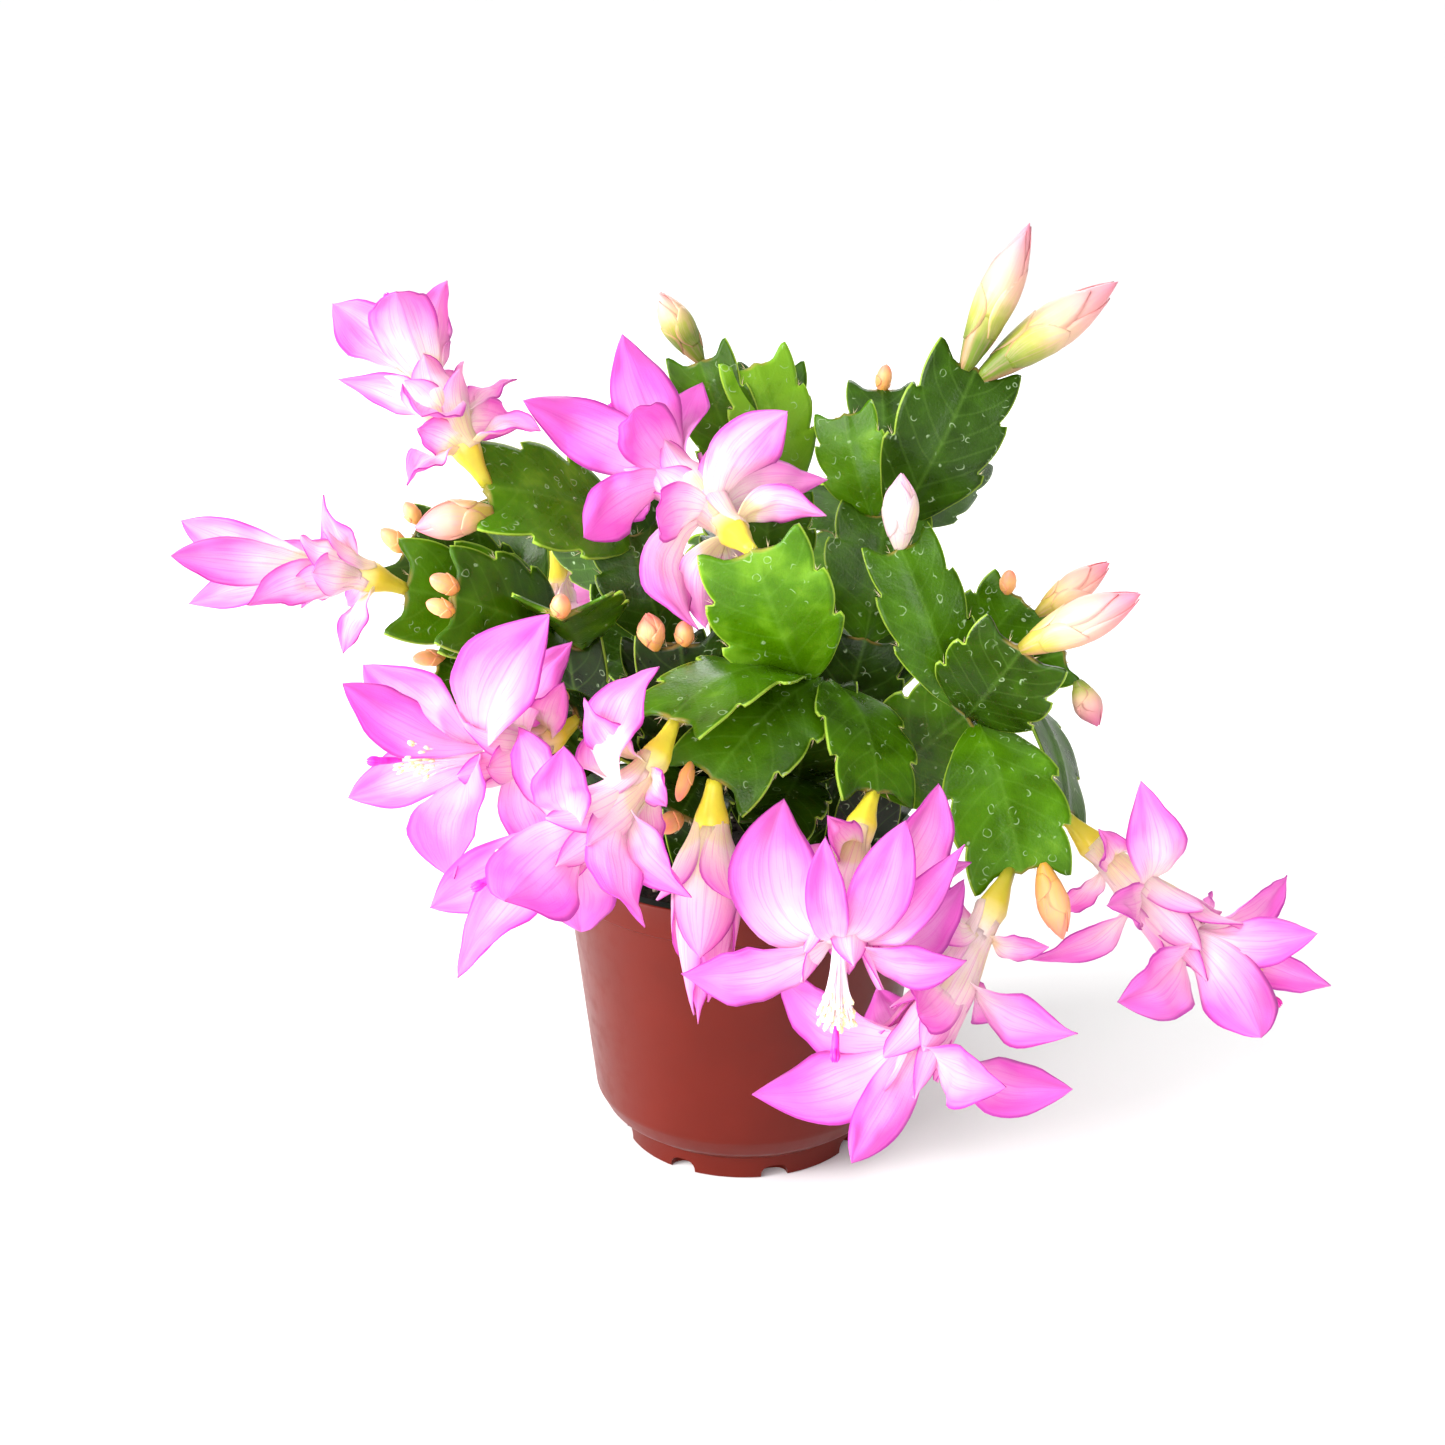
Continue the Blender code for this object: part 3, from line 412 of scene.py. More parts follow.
STEMS = {
    "stem_front": ((9, -13), [
        Pad(0, (12, -23, 97), (0.0, -1.0, 0.3), 15),
        Pad(1, (14, -38, 125), (-0.1, -1.0, 0.45), 22),
        Pad(2, (1, -46, 156), (-0.15, -1.0, 0.3), 26, -2),
        Pad(2, (-15, -66, 126), (-0.1, -0.1, 1.0), 24, -4, 0.12),
        Pad(2, (-7, -62, 112), (-0.3, -1.0, 0.75), 24, 1, 0.12),
        Pad(2, (26, -62, 109), (0.55, -0.6, 0.6), 22, 4, 0.12),
        Pad(1, (6, -46, 95), (0.1, -0.4, 1.0), 18),
    ]),
    "stem_low_left": ((-9, -17), [
        Pad(0, (-12, -25, 97), (0.1, -1.0, 0.3), 15),
        Pad(1, (-14, -36, 133), (0.1, -1.0, 0.35), 22),
        Pad(1, (-36, -42, 118), (-0.2, -0.5, 1.0), 20, -5),
        Pad(1, (-14, -50, 99), (0.2, -0.8, 0.8), 17, 3),
    ]),
    "stem_left_mid": ((-22, -5), [
        Pad(0, (-31, -9, 95), (-0.5, -1.0, 0.3), 15),
        Pad(1, (-38, -19, 127), (-0.5, -1.0, 0.3), 20),
        Pad(2, (-61, -40, 144), (-0.2, -0.9, 0.6), 25, -3),
        Pad(2, (-38, -46, 142), (0.0, 0.5, 0.9), 23, 3, 0.05, 0.5),
        Pad(1, (-47, -14, 108), (-0.3, -0.7, 0.8), 19, -4),
        Pad(5, (-67, -20, 123), (-0.2, -0.7, 0.8), 19),
    ]),
    "stem_left_back": ((-24, 12), [
        Pad(0, (-33, 8, 95), (-1.0, -0.4, 0.2), 15),
        Pad(1, (-45, -3, 126), (-0.6, -0.8, 0.4), 22),
        Pad(2, (-73, -24, 141), (-0.2, -0.9, 0.5), 25, 4),
        Pad(2, (-75, -4, 145), (-0.2, -0.7, 0.8), 23, -3),
        Pad(2, (-57, 16, 151), (-0.5, -0.4, 0.8), 22, -4),
    ]),
    "stem_left_top": ((-6, 1), [
        Pad(0, (-14, -3, 96), (-0.3, -1.0, 0.2), 15),
        Pad(1, (-18, -8, 124), (-0.1, -1.0, 0.2), 22),
        Pad(2, (-26, -4, 147), (0.2, -1.0, 0.2), 20),
        Pad(3, (-55, -24, 163), (-0.1, -0.75, 0.8), 26),
    ]),
    "stem_top": ((3, 17), [
        Pad(0, (2, 16, 97), (0.0, -1.0, 0.1), 15),
        Pad(1, (4, 14, 126), (0.1, -1.0, 0.1), 22),
        Pad(2, (6, 12, 152), (-0.1, -1.0, 0.1), 22),
        Pad(3, (2, 8, 183), (0.35, -1.0, 0.1), 19, 3),
        Pad(3, (-10, 8, 184), (-0.2, -1.0, 0.1), 17, -3),
        Pad(3, (6, 24, 178), (0.0, -1.0, 0.3), 18),
    ]),
    "stem_right_top": ((15, 4), [
        Pad(0, (20, 2, 95), (0.2, -1.0, 0.1), 15),
        Pad(1, (27, -2, 123), (0.0, -1.0, 0.1), 22),
        Pad(2, (31, 2, 150), (0.0, -1.0, 0.2), 24),
        Pad(3, (50, 3, 183), (0.1, -1.0, 0.1), 24, 3),
        Pad(3, (22, 6, 172), (-0.3, -1.0, 0.2), 16, -3),
        Pad(3, (31, 22, 174), (0.0, -1.0, 0.1), 18),
        Pad(3, (54, 20, 161), (0.5, -0.8, -0.2), 17, 4),
    ]),
    "stem_right_front": ((24, -11), [
        Pad(0, (28, -20, 95), (0.2, -1.0, 0.2), 15),
        Pad(1, (47, -36, 117), (0.1, -1.0, 0.4), 26),
        Pad(2, (32, -30, 152), (0.15, -1.0, 0.15), 18, -4),
        Pad(2, (56, -52, 137), (0.1, -0.9, 0.5), 24, 0),
        Pad(2, (57, -56, 89), (0.15, -1.0, 0.25), 25, 4, 0.12),
    ]),
    "stem_right_back": ((29, 6), [
        Pad(0, (38, 2, 95), (0.8, -0.6, 0.2), 15),
        Pad(1, (51, -6, 117), (0.5, -0.9, 0.2), 20),
        Pad(2, (60, -14, 136), (0.0, -0.9, 0.3), 20, -3),
        Pad(2, (69, -34, 93), (0.85, -0.5, 0.2), 19, 2, 0.14),
        Pad(2, (70, -16, 124), (0.5, -0.8, 0.4), 16, 4),
    ]),
    "stem_back_left": ((-12, 25), [
        Pad(0, (-19, 34, 94), (-0.5, 1.0, 0.2), 15),
        Pad(1, (-28, 48, 120), (-0.5, 1.0, 0.4), 22),
        Pad(2, (-46, 62, 138), (-0.6, 0.8, 0.8), 24, 3),
        Pad(2, (-18, 66, 140), (0.1, 0.9, 0.8), 23, -3),
        Pad(3, (-48, 80, 120), (-0.2, 0.8, 0.8), 24, 0, 0.12),
        Pad(1, (-34, 50, 100), (-0.6, 0.7, 0.9), 18, 3),
    ]),
    "stem_back": ((3, 29), [
        Pad(0, (4, 43, 94), (0.1, 1.0, 0.2), 15),
        Pad(1, (2, 58, 116), (0.0, 1.0, 0.5), 22),
        Pad(2, (0, 82, 124), (0.0, 0.4, 1.0), 23),
        Pad(3, (-4, 102, 103), (-0.1, 0.9, 0.7), 24, 0, 0.12),
        Pad(1, (8, 62, 96), (0.2, 0.5, 1.0), 18, -3),
    ]),
    "stem_back_right": ((18, 24), [
        Pad(0, (25, 34, 95), (0.5, 1.0, 0.2), 15),
        Pad(1, (34, 46, 124), (0.5, 1.0, 0.4), 22),
        Pad(1, (42, 56, 114), (0.5, 0.8, 0.5), 20, -4),
        Pad(2, (24, 68, 140), (0.0, 0.9, 0.8), 22, 4),
        Pad(4, (24, 90, 122), (0.0, 0.9, 0.8), 24, 0, 0.12),
        Pad(5, (26, 102, 94), (0.1, 1.0, 0.4), 23, 0, 0.10),
        Pad(3, (46, 78, 104), (0.4, 0.7, 0.8), 22, 0, 0.10),
    ]),
}

BLOOMS = {
    "bloom_top_left": Bloom(
        "stem_left_top", 4, (-66, -16, 183), (-0.45, 0.5, 0.75),
        [(-155, 15, 33, 16), (-35, 70, 34, 14), (105, 30, 29, 10), (45, 30, 23, 11)],
        [(-130, 40, 26, 9), (-50, 100, 24, 14), (85, 65, 20, 8), (110, 90, 22, 10)],
        [(-70, 75, 14, 8), (-90, 105, 18, 8), (30, 110, 16, 8)],
        1,
    ),
    "bloom_left": Bloom(
        "stem_left_back", 3, (-90, -32, 148), (-1.0, -0.15, 0.1),
        [(-65, 20, 33, 10), (60, 22, 32, 10), (180, 18, 28, 9)],
        [(-95, 38, 30, 9), (90, 33, 26, 9)],
        [(15, 50, 20, 9), (-140, 70, 17, 7), (130, 70, 16, 7)],
    ),
    "bloom_top": Bloom(
        "stem_front", 3, (-14, -22, 165), (-0.6, 0.5, 0.5),
        [(5, 25, 33, 14), (-95, 35, 37, 14), (-45, 65, 24, 14), (-110, 85, 26, 13),
         (80, 45, 30, 14), (165, 60, 25, 12)],
        [(10, 90, 27, 14), (-75, 95, 25, 12), (-130, 130, 29, 12), (75, 110, 26, 12)],
        [(45, 135, 20, 9), (-160, 120, 21, 9), (160, 140, 19, 8)],
    ),
    "bloom_low_left": Bloom(
        "stem_front", 4, (-33, -86, 111), (-0.85, -0.4, -0.35),
        [(-160, 20, 37, 14), (130, 20, 34, 13), (-85, 35, 26, 19), (-20, 90, 22, 12),
         (62, 95, 27, 11), (165, 75, 26, 17)],
        [(-110, 60, 32, 12), (15, 130, 28, 12), (-125, 85, 25, 10), (80, 105, 26, 10)],
        [(0, 70, 19, 9), (-95, 80, 13, 7), (-170, 70, 18, 8)],
    ),
    "bloom_far_left": Bloom(
        "stem_low_left", 3, (-54, -61, 117), (-0.95, -0.4, 0.1),
        [(-15, 105, 34, 18), (55, 55, 32, 16), (10, 25, 33, 13), (130, 45, 32, 12),
         (-120, 65, 30, 19), (80, 105, 28, 14)],
        [(85, 130, 25, 10), (180, 105, 26, 12), (20, 120, 24, 11)],
        [(-35, 85, 18, 8), (150, 115, 18, 8)],
    ),
    "bloom_front": Bloom(
        "stem_front", 6, (18, -86, 87), (-0.05, -0.6, -0.8),
        [(58, 150, 38, 18), (176, 150, 31, 13), (-28, 134, 32, 12), (-55, 128, 32, 8),
         (-105, 125, 30, 13), (100, 80, 32, 14), (-80, 75, 25, 10), (8, 118, 31, 8)],
        [(-70, 141, 28, 13), (-95, 105, 24, 10), (70, 90, 22, 10)],
        [(-125, 70, 20, 8), (15, 90, 16, 8), (150, 100, 18, 8)],
    ),
    "bloom_low_right": Bloom(
        "stem_right_front", 5, (35, -78, 62), (-0.55, -0.35, -0.75),
        [(35, 30, 37, 17), (-65, 20, 31, 11), (60, 75, 33, 17), (-140, 100, 32, 15),
         (-90, 90, 25, 13), (110, 100, 28, 15)],
        [(-40, 60, 27, 14), (-120, 90, 27, 13), (175, 90, 20, 9)],
        [(-10, 80, 16, 8), (-120, 115, 13, 7), (100, 110, 18, 8)],
        2,
    ),
    "bloom_right": Bloom(
        "stem_right_back", 4, (96, -46, 70), (0.75, -0.4, -0.5),
        [(80, 40, 33, 15), (-50, 20, 32, 9), (5, 40, 29, 11), (-100, 95, 26, 13),
         (-60, 70, 28, 9), (115, 90, 25, 17)],
        [(15, 115, 29, 13), (130, 105, 29, 8), (75, 90, 24, 10)],
        [(45, 105, 15, 8), (-100, 100, 16, 8), (160, 95, 15, 8)],
    ),
    "bloom_back_left": Bloom(
        "stem_back_left", 5, (-50, 98, 98), (-0.15, 0.7, -0.7),
        ring(6, 70, 33, 16),
        ring(3, 110, 27, 12, 30),
        ring(3, 100, 18, 8, 90),
    ),
}

BUDS = {
    "bud_top_pale": Bud("stem_top", 5, (-19, 6, 199), 7),
    "bud_top_right_tall": Bud("stem_right_top", 4, (61, 6, 214), 9, -2),
    "bud_top_right_wide": Bud("stem_right_top", 4, (81, 8, 201), 10, 2),
    "bud_top_small": Bud("stem_right_top", 6, (32, 22, 180), 3.5),
    "bud_top_right_small": Bud("stem_right_top", 7, (59, 19, 166), 3.5),
    "bud_white": Bud("stem_right_front", 3, (32, -30, 168), 7.5),
    "bud_right_upper": Bud("stem_right_back", 3, (79, -14, 144), 6.5, 5),
    "bud_right_inner": Bud("stem_right_back", 3, (57, -17, 143), 3.5, -3),
    "bud_right_wide": Bud("stem_right_front", 4, (78, -60, 151), 9, 0),
    "bud_right_hanging": Bud("stem_right_back", 5, (77, -22, 109), 6, 6.4),
    "bud_low_orange": Bud("stem_right_front", 5, (66, -61, 76), 6.5, -5),
    "bud_left_pink": Bud("stem_left_top", 4, (-69, -33, 157), 8, -5.5),
    "bud_left_far": Bud("stem_left_back", 4, (-80, -5, 149), 4, -1),
    "bud_left_far_small": Bud("stem_left_back", 4, (-75, -1, 154), 3.5, 6),
    "bud_left_pair_low": Bud("stem_left_mid", 3, (-66, -43, 144), 3.5, -3),
    "bud_left_pair_high": Bud("stem_left_mid", 3, (-65, -42, 149), 4, 2),
    "bud_left_fold": Bud("stem_left_mid", 4, (-38, -48, 147), 4),
    "bud_left_low": Bud("stem_left_mid", 6, (-72, -23, 125), 3.5, 2),
    "bud_middle_large": Bud("stem_low_left", 2, (-21, -38, 140), 5.5, -5),
    "bud_middle_small": Bud("stem_low_left", 2, (-13, -37, 138), 4, 1),
    "bud_inner_left": Bud("stem_low_left", 3, (-41, -42, 124), 3.5, 6),
    "bud_under_left": Bud("stem_low_left", 4, (-18, -56, 99), 4.5),
    "bud_hanging_red": Bud("stem_front", 5, (-14, -66, 109), 3, 6),
    "bud_hanging_white": Bud("stem_front", 5, (-10, -74, 63), 15),
    "bud_under_front": Bud("stem_front", 7, (1, -52, 86), 6),
    "bud_back_wide": Bud("stem_back_right", 6, (34, 112, 73), 9, 4),
    "bud_back_slim": Bud("stem_back_right", 6, (18, 111, 77), 6, -5),
    "bud_back_middle": Bud("stem_back", 4, (-6, 112, 84), 8),
    "bud_back_side": Bud("stem_back_right", 7, (48, 88, 90), 6),
}

# Pads whose tone is given one by one, partly their own colour and partly painted light:
# painted sheen on pads that catch the light, painted shade on pads in shadow. Their number
# and tone
PAD_SHEEN_AND_SHADE = {
    "stem_front": {3: 0.58, 4: 0.5, 5: 0.42, 6: 0.42},
    "stem_left_top": {4: 0.56},
    "stem_left_back": {3: 0.5},
    "stem_left_mid": {3: 0.4, 4: 0.5},
    "stem_right_top": {3: 0.36, 4: 0.28, 5: 0.55},
    "stem_right_front": {2: 0.4, 3: 0.42, 4: 0.26, 5: 0.5},
    "stem_right_back": {3: 0.45},
    "stem_top": {4: 0.75},
}

# Large buds that are still partly orange, or green further up where below 0
BUD_TINTS = {
    "bud_white": 0.6,
    "bud_top_pale": -0.9,
    "bud_top_right_tall": -0.42,
    "bud_top_right_wide": -0.38,
    "bud_low_orange": 0.9,
    "bud_middle_large": 0.85,
    "bud_under_front": 0.9,
    "bud_left_pink": 0.3,
    "bud_right_upper": 0.28,
    "bud_right_wide": 0.22,
}

# The bud that is white all over, and how far along a petal its colours are taken
WHITE_BUD = "bud_white"
WHITE_BUD_REACH = 0.3

# The bud that has begun to open: the line of its bell and of the ovary inside it, as
# (share of its length, radius), and its petals as a wrap's numbers with their tint
HALF_OPEN_BUD = "bud_hanging_white"
OPENING_BELL = [
    (0.0, 1.6), (0.17, 3.4), (0.24, 4.2), (0.36, 6.2),
    (0.5, 6.8), (0.68, 5.6), (0.84, 3.4), (1.0, 0.8),
]
BELL_CORE = [(0.0, 1.5), (0.15, 2.2), (0.34, 3.7), (0.45, 3.2), (0.8, 2.4), (1.0, 1.0)]
BELL_CORE_END = 0.5
BELL_CORE_SPAN = (0.0, 0.7)
OPENING_SPAN = (0.03, 0.72)
OPENING_PETALS = [
    ((0.3, 0.22, 0.96, 1.3, -0.5, 0.0, 0.1), 0.6),
    ((2.4, 0.22, 1.0, 1.3, -0.3, 0.0, -0.1), 0.5),
    ((4.5, 0.22, 0.9, 1.3, -0.4, 0.0, 0.1), 0.6),
    ((1.4, 0.18, 0.76, 1.2, 0.4, 3.0, 0.2), 1.0),
    ((3.5, 0.18, 0.84, 1.2, 0.5, 5.0, -0.2), 1.0),
    ((5.5, 0.18, 0.7, 1.2, 0.4, 4.0, 0.1), 1.0),
    ((0.6, 0.16, 0.50, 1.0, 0.9, 10.0, 0.1), 1.0),
    ((2.7, 0.16, 0.58, 1.0, 0.9, 12.0, -0.1), 1.0),
    ((4.8, 0.16, 0.46, 1.0, 0.9, 10.0, 0.1), 1.0),
]

# How far a bloom's inner and outer petals pale towards white, or deepen where below 0
PLAIN_TINT = (0.0, 0.25)
BLOOM_TINTS = {
    "bloom_top_left": (0.75, 0.9),
    "bloom_left": (0.7, 0.9),
    "bloom_top": (-0.7, 0.6),
    "bloom_low_left": (0.05, 0.5),
    "bloom_far_left": (-0.3, 0.0),
    "bloom_low_right": (0.05, 0.4),
    "bloom_right": (0.3, 0.65),
}

# How far a bloom's ovary turns from bright yellow to olive
PLAIN_OVARY = 0.1
OLIVE_OVARIES = {
    "bloom_top_left": 0.7,
    "bloom_left": 0.5,
    "bloom_top": 0.35,
    "bloom_low_right": 1.0,
    "bloom_right": 0.6,
}


def along(a, b, share):
    return a + (b - a) * share


def smooth_step(share):
    share = max(0.0, min(1.0, share))
    return share * share * (3 - 2 * share)


def follow(table, share):
    """The value at a share on a smooth line through a table of (share, value)."""
    last = len(table) - 1
    k = 0
    while k < last - 1 and table[k + 1][0] < share:
        k += 1
    (s0, v0), (s1, v1) = table[k], table[k + 1]
    before, after = table[max(k - 1, 0)], table[min(k + 2, last)]
    pull0 = (v1 - before[1]) / (s1 - before[0]) * (s1 - s0)
    pull1 = (after[1] - v0) / (after[0] - s0) * (s1 - s0)
    t = max(0.0, min(1.0, (share - s0) / (s1 - s0)))
    square, cube = t * t, t * t * t
    return (
        v0 * (2 * cube - 3 * square + 1)
        + pull0 * (cube - 2 * square + t)
        + v1 * (3 * square - 2 * cube)
        + pull1 * (cube - square)
    )


def square_to(vector, axis):
    """The unit vector nearest to a vector that stands square to an axis."""
    return (vector - axis * vector.dot(axis)).normalized()


def turned(first, second, angle):
    """The unit vector at an angle from the first of two, towards the second."""
    return first * math.cos(angle) + second * math.sin(angle)


def laid(spot, shape):
    """A function from a blank's point to its place, shaped and brought to a spot."""
    return lambda a, b, c: spot + shape @ Vector((a, b, c))


def deselect():
    if bpy.context.mode != "OBJECT":
        bpy.ops.object.mode_set(mode="OBJECT")
    bpy.ops.object.select_all(action="DESELECT")


def pick(piece):
    """Makes a piece the only one selected, and the active one."""
    deselect()
    piece.select_set(True)
    bpy.context.view_layer.objects.active = piece


def apply_modifiers(piece):
    pick(piece)
    for modifier in list(piece.modifiers):
        bpy.ops.object.modifier_apply(modifier=modifier.name)


def discard(*pieces):
    for piece in pieces:
        mesh = piece.data
        bpy.data.objects.remove(piece)
        bpy.data.meshes.remove(mesh)


def begin(primitive, name, **sizes):
    """A new primitive, with nothing else selected."""
    deselect()
    primitive(**sizes)
    piece = bpy.context.object
    piece.name = name
    return piece


def apply_place():
    bpy.ops.object.transform_apply(location=True, rotation=True, scale=True)


def edit_all():
    bpy.ops.object.mode_set(mode="EDIT")
    bpy.ops.mesh.select_all(action="SELECT")


def lathe(name, profile, sides):
    """A turned shape: a circle extruded from ring to ring of (radius, height) in mm."""
    radius, height = profile[0]
    centre = (0, 0, height * MM)
    circle = bpy.ops.mesh.primitive_circle_add
    piece = begin(circle, name, vertices=sides, radius=radius * MM, location=centre)
    apply_place()
    edit_all()
    for wide, high in profile[1:]:
        rise = (0, 0, (high - height) * MM)
        bpy.ops.mesh.extrude_edges_move(TRANSFORM_OT_translate={"value": rise})
        grow = wide / radius
        bpy.ops.transform.resize(value=(grow, grow, 1), center_override=(0, 0, 0))
        radius, height = wide, high
    bpy.ops.mesh.select_all(action="SELECT")
    bpy.ops.mesh.fill_holes(sides=0)
    bpy.ops.mesh.normals_make_consistent(inside=False)
    bpy.ops.object.mode_set(mode="OBJECT")
    return piece


def smooth(piece, angle):
    pick(piece)
    bpy.ops.object.shade_smooth_by_angle(angle=math.radians(angle))


def present(piece, node=None):
    """Puts a finished piece on the plant's body, in place of its node."""
    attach(piece, BODY)
    if node:
        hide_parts(node)


class Heap:
    """The points and faces of the copies that make up one mesh."""

    def __init__(self):
        self.points, self.faces, self.kinds = [], [], []
        self.uvs, self.tones, self.walls = [], [], []

    def mesh_object(self, name, materials):
        mesh = bpy.data.meshes.new(name)
        mesh.from_pydata(self.points, [], self.faces)
        growth = mesh.uv_layers.new(name=UV_NAME)
        growth.uv.foreach_set("vector", [x for uv in self.uvs for x in uv])
        tones = mesh.attributes.new(TONE, "FLOAT", "POINT")
        tones.data.foreach_set("value", self.tones)
        mesh.polygons.foreach_set("material_index", self.kinds)
        for material in materials:
            mesh.materials.append(material)
        piece = bpy.data.objects.new(name, mesh)
        bpy.context.scene.collection.objects.link(piece)
        return piece


class Gathering:
    """Copies of blanks, each laid in its place, gathered into one piece."""

    def __init__(self):
        self.sheets, self.solids = Heap(), Heap()

    def lay(self, blank, place, tone=0.5, kind=0, wall=None, span=(0.0, 1.0)):
        """place takes a blank's point to its place in mm, and wall to its thickness there.

        A blank without a wall is a closed solid. span is where the copy starts and ends
        in the growth of the whole piece.
        """
        heap = self.sheets if wall else self.solids
        first = len(heap.points)
        mesh = blank.data
        for vertex in mesh.vertices:
            heap.points.append(place(*vertex.co) * MM)
            heap.tones.append(tone)
            heap.walls.append(wall(*vertex.co) if wall else 0.0)
        growth = mesh.uv_layers.active.data if mesh.uv_layers else None
        for face in mesh.polygons:
            heap.faces.append([first + i for i in face.vertices])
            heap.kinds.append(kind)
            for loop in face.loop_indices:
                across, share = growth[loop].uv if growth else (0.5, 0.5)
                heap.uvs.append((across, along(*span, share)))

    def finish(self, name, materials):
        """The piece, with its sheets given their walls and joined to its solids."""
        made = []
        if self.sheets.points:
            piece = self.sheets.mesh_object(name, materials)
            most = max(self.sheets.walls)
            group = piece.vertex_groups.new(name=WALL_GROUP)
            for i, wall in enumerate(self.sheets.walls):
                group.add([i], wall / most, "REPLACE")
            skin = piece.modifiers.new("Skin", "SOLIDIFY")
            skin.thickness = most * MM
            skin.offset = 0
            skin.vertex_group = WALL_GROUP
            apply_modifiers(piece)
            piece.vertex_groups.clear()
            made.append(piece)
        if self.solids.points:
            made.append(self.solids.mesh_object(name, materials))
        deselect()
        for piece in made:
            piece.select_set(True)
        bpy.context.view_layer.objects.active = made[0]
        if len(made) > 1:
            bpy.ops.object.join()
        made[0].data.shade_smooth()
        return made[0]


def grid_blank(name, columns, rows):
    """A flat sheet, one unit each way from its middle line and one unit long."""
    grid = bpy.ops.mesh.primitive_grid_add
    blank = begin(grid, name, x_subdivisions=columns, y_subdivisions=rows, size=2)
    edit_all()
    bpy.ops.transform.translate(value=(0, 1, 0))
    bpy.ops.transform.resize(value=(1, 0.5, 1), center_override=(0, 0, 0))
    bpy.ops.object.mode_set(mode="OBJECT")
    return blank


def tube_blank(name, sides, rings):
    """A closed tube of radius 1 and length 1 along Z, in rings of equal height."""
    blank = lathe(name, [(1 / MM, k / rings / MM) for k in range(rings + 1)], sides)
    mesh = blank.data
    while mesh.uv_layers:
        mesh.uv_layers.remove(mesh.uv_layers[0])
    growth = mesh.uv_layers.new(name=UV_NAME)
    for face in mesh.polygons:
        middle = math.atan2(face.center.y, face.center.x)
        for loop in face.loop_indices:
            corner = mesh.vertices[mesh.loops[loop].vertex_index].co
            turn = math.atan2(corner.y, corner.x) - middle
            turn = (turn + math.pi) % (2 * math.pi) - math.pi + middle
            growth.data[loop].uv = (turn / (2 * math.pi) + 0.5, corner.z)
    return blank


def make_hex(text):
    """An sRGB hex colour as linear red, green, blue and alpha."""
    parts = [int(text[i : i + 2], 16) / 255 for i in (1, 3, 5)]
    linear = [p / 12.92 if p <= 0.04045 else ((p + 0.055) / 1.055) ** 2.4 for p in parts]
    return (*linear, 1.0)


def grain(width):
    """The scale that makes a pattern's grains so many millimetres wide."""
    return 1 / (width * MM)


def grains(place, width, detail=3.0):
    """The sockets of a pattern whose grains are so many millimetres wide."""
    return {"Vector": place, "Scale": grain(width), "Detail": detail}


def feed(tree, node, values):
    """Sets or links a node's sockets, from a dict by name or a list in their order."""
    sockets = [s for s in node.inputs if s.enabled]
    if isinstance(values, dict):
        sockets = [node.inputs[name] for name in values]
        values = values.values()
    for socket, value in zip(sockets, values):
        if isinstance(value, bpy.types.Node):
            value = [s for s in value.outputs if s.enabled][0]
        if isinstance(value, bpy.types.NodeSocket):
            tree.links.new(value, socket)
        else:
            socket.default_value = value


def add(tree, kind, values=(), stops=(), **settings):
    """Adds a shader node, sets it up, feeds its sockets and fills its ramp."""
    made = tree.nodes.new("ShaderNode" + kind)
    for name, value in settings.items():
        setattr(made, name, value)
    feed(tree, made, values)
    for k, (place, colour) in enumerate(stops):
        spots = made.color_ramp.elements
        spot = spots[k] if k < 2 else spots.new(place)
        spot.position = place
        spot.color = make_hex(colour) if isinstance(colour, str) else colour
    return made


def start_material(name):
    """A new material, its tree, its main shader, and its object coordinates."""
    material = bpy.data.materials.new(name)
    material.use_nodes = True
    tree = material.node_tree
    shader = tree.nodes["Principled BSDF"]
    return material, tree, shader, add(tree, "TexCoord").outputs["Object"]


def growth_map(tree):
    """Where a point lies in its growth, and its tone.

    across runs from edge to edge, away is 0 on the middle line and 1 at the edge, and
    reach runs from base to tip.
    """
    growth = add(tree, "SeparateXYZ", [add(tree, "UVMap", uv_map=UV_NAME)])
    across, reach = growth.outputs["X"], growth.outputs["Y"]
    doubled = add(tree, "Math", [across, 2.0, -1.0], operation="MULTIPLY_ADD")
    away = add(tree, "Math", [doubled], operation="ABSOLUTE")
    tone = add(tree, "Attribute", attribute_name=TONE).outputs["Fac"]
    return across, away, reach, tone


def blend(tree, base, top, mask, limits=None, **settings):
    """Lays a colour over a base by a mask, which limits bring from one range to another."""
    if limits:
        mask = add(tree, "MapRange", [mask, *limits], **settings)
    top = make_hex(top) if isinstance(top, str) else top
    return add(tree, "Mix", [mask, base, top], data_type="RGBA")


def long_veins(tree, across, reach, veins):
    """Fine veins along a petal: so many grains across it, and so many along it."""
    lines = add(tree, "Math", [across, veins[0]], operation="MULTIPLY")
    run = add(tree, "Math", [reach, veins[1]], operation="MULTIPLY")
    stretch = add(tree, "CombineXYZ", [lines, run])
    return add(tree, "TexNoise", {"Vector": stretch, "Scale": 1.0, "Detail": 2.0})


def coat(tree, shader, colour, roughness, relief, levels):
    """Sets up a shader. relief is (height, strength, distance)."""
    height, strength, distance = relief
    bump = add(tree, "Bump", {"Height": height, "Strength": strength, "Distance": distance})
    sockets = {"Base Color": colour, "Roughness": roughness, "Normal": bump, **levels}
    feed(tree, shader, sockets)


def through_light(tree, shader, colour, share):
    """Lets a share of the light pass through a thin sheet."""
    glow = add(tree, "BsdfTranslucent", {"Color": colour})
    both = add(tree, "MixShader", [share, shader, glow])
    output = [n for n in tree.nodes if n.type == "OUTPUT_MATERIAL"][0]
    tree.links.new(both.outputs[0], output.inputs["Surface"])


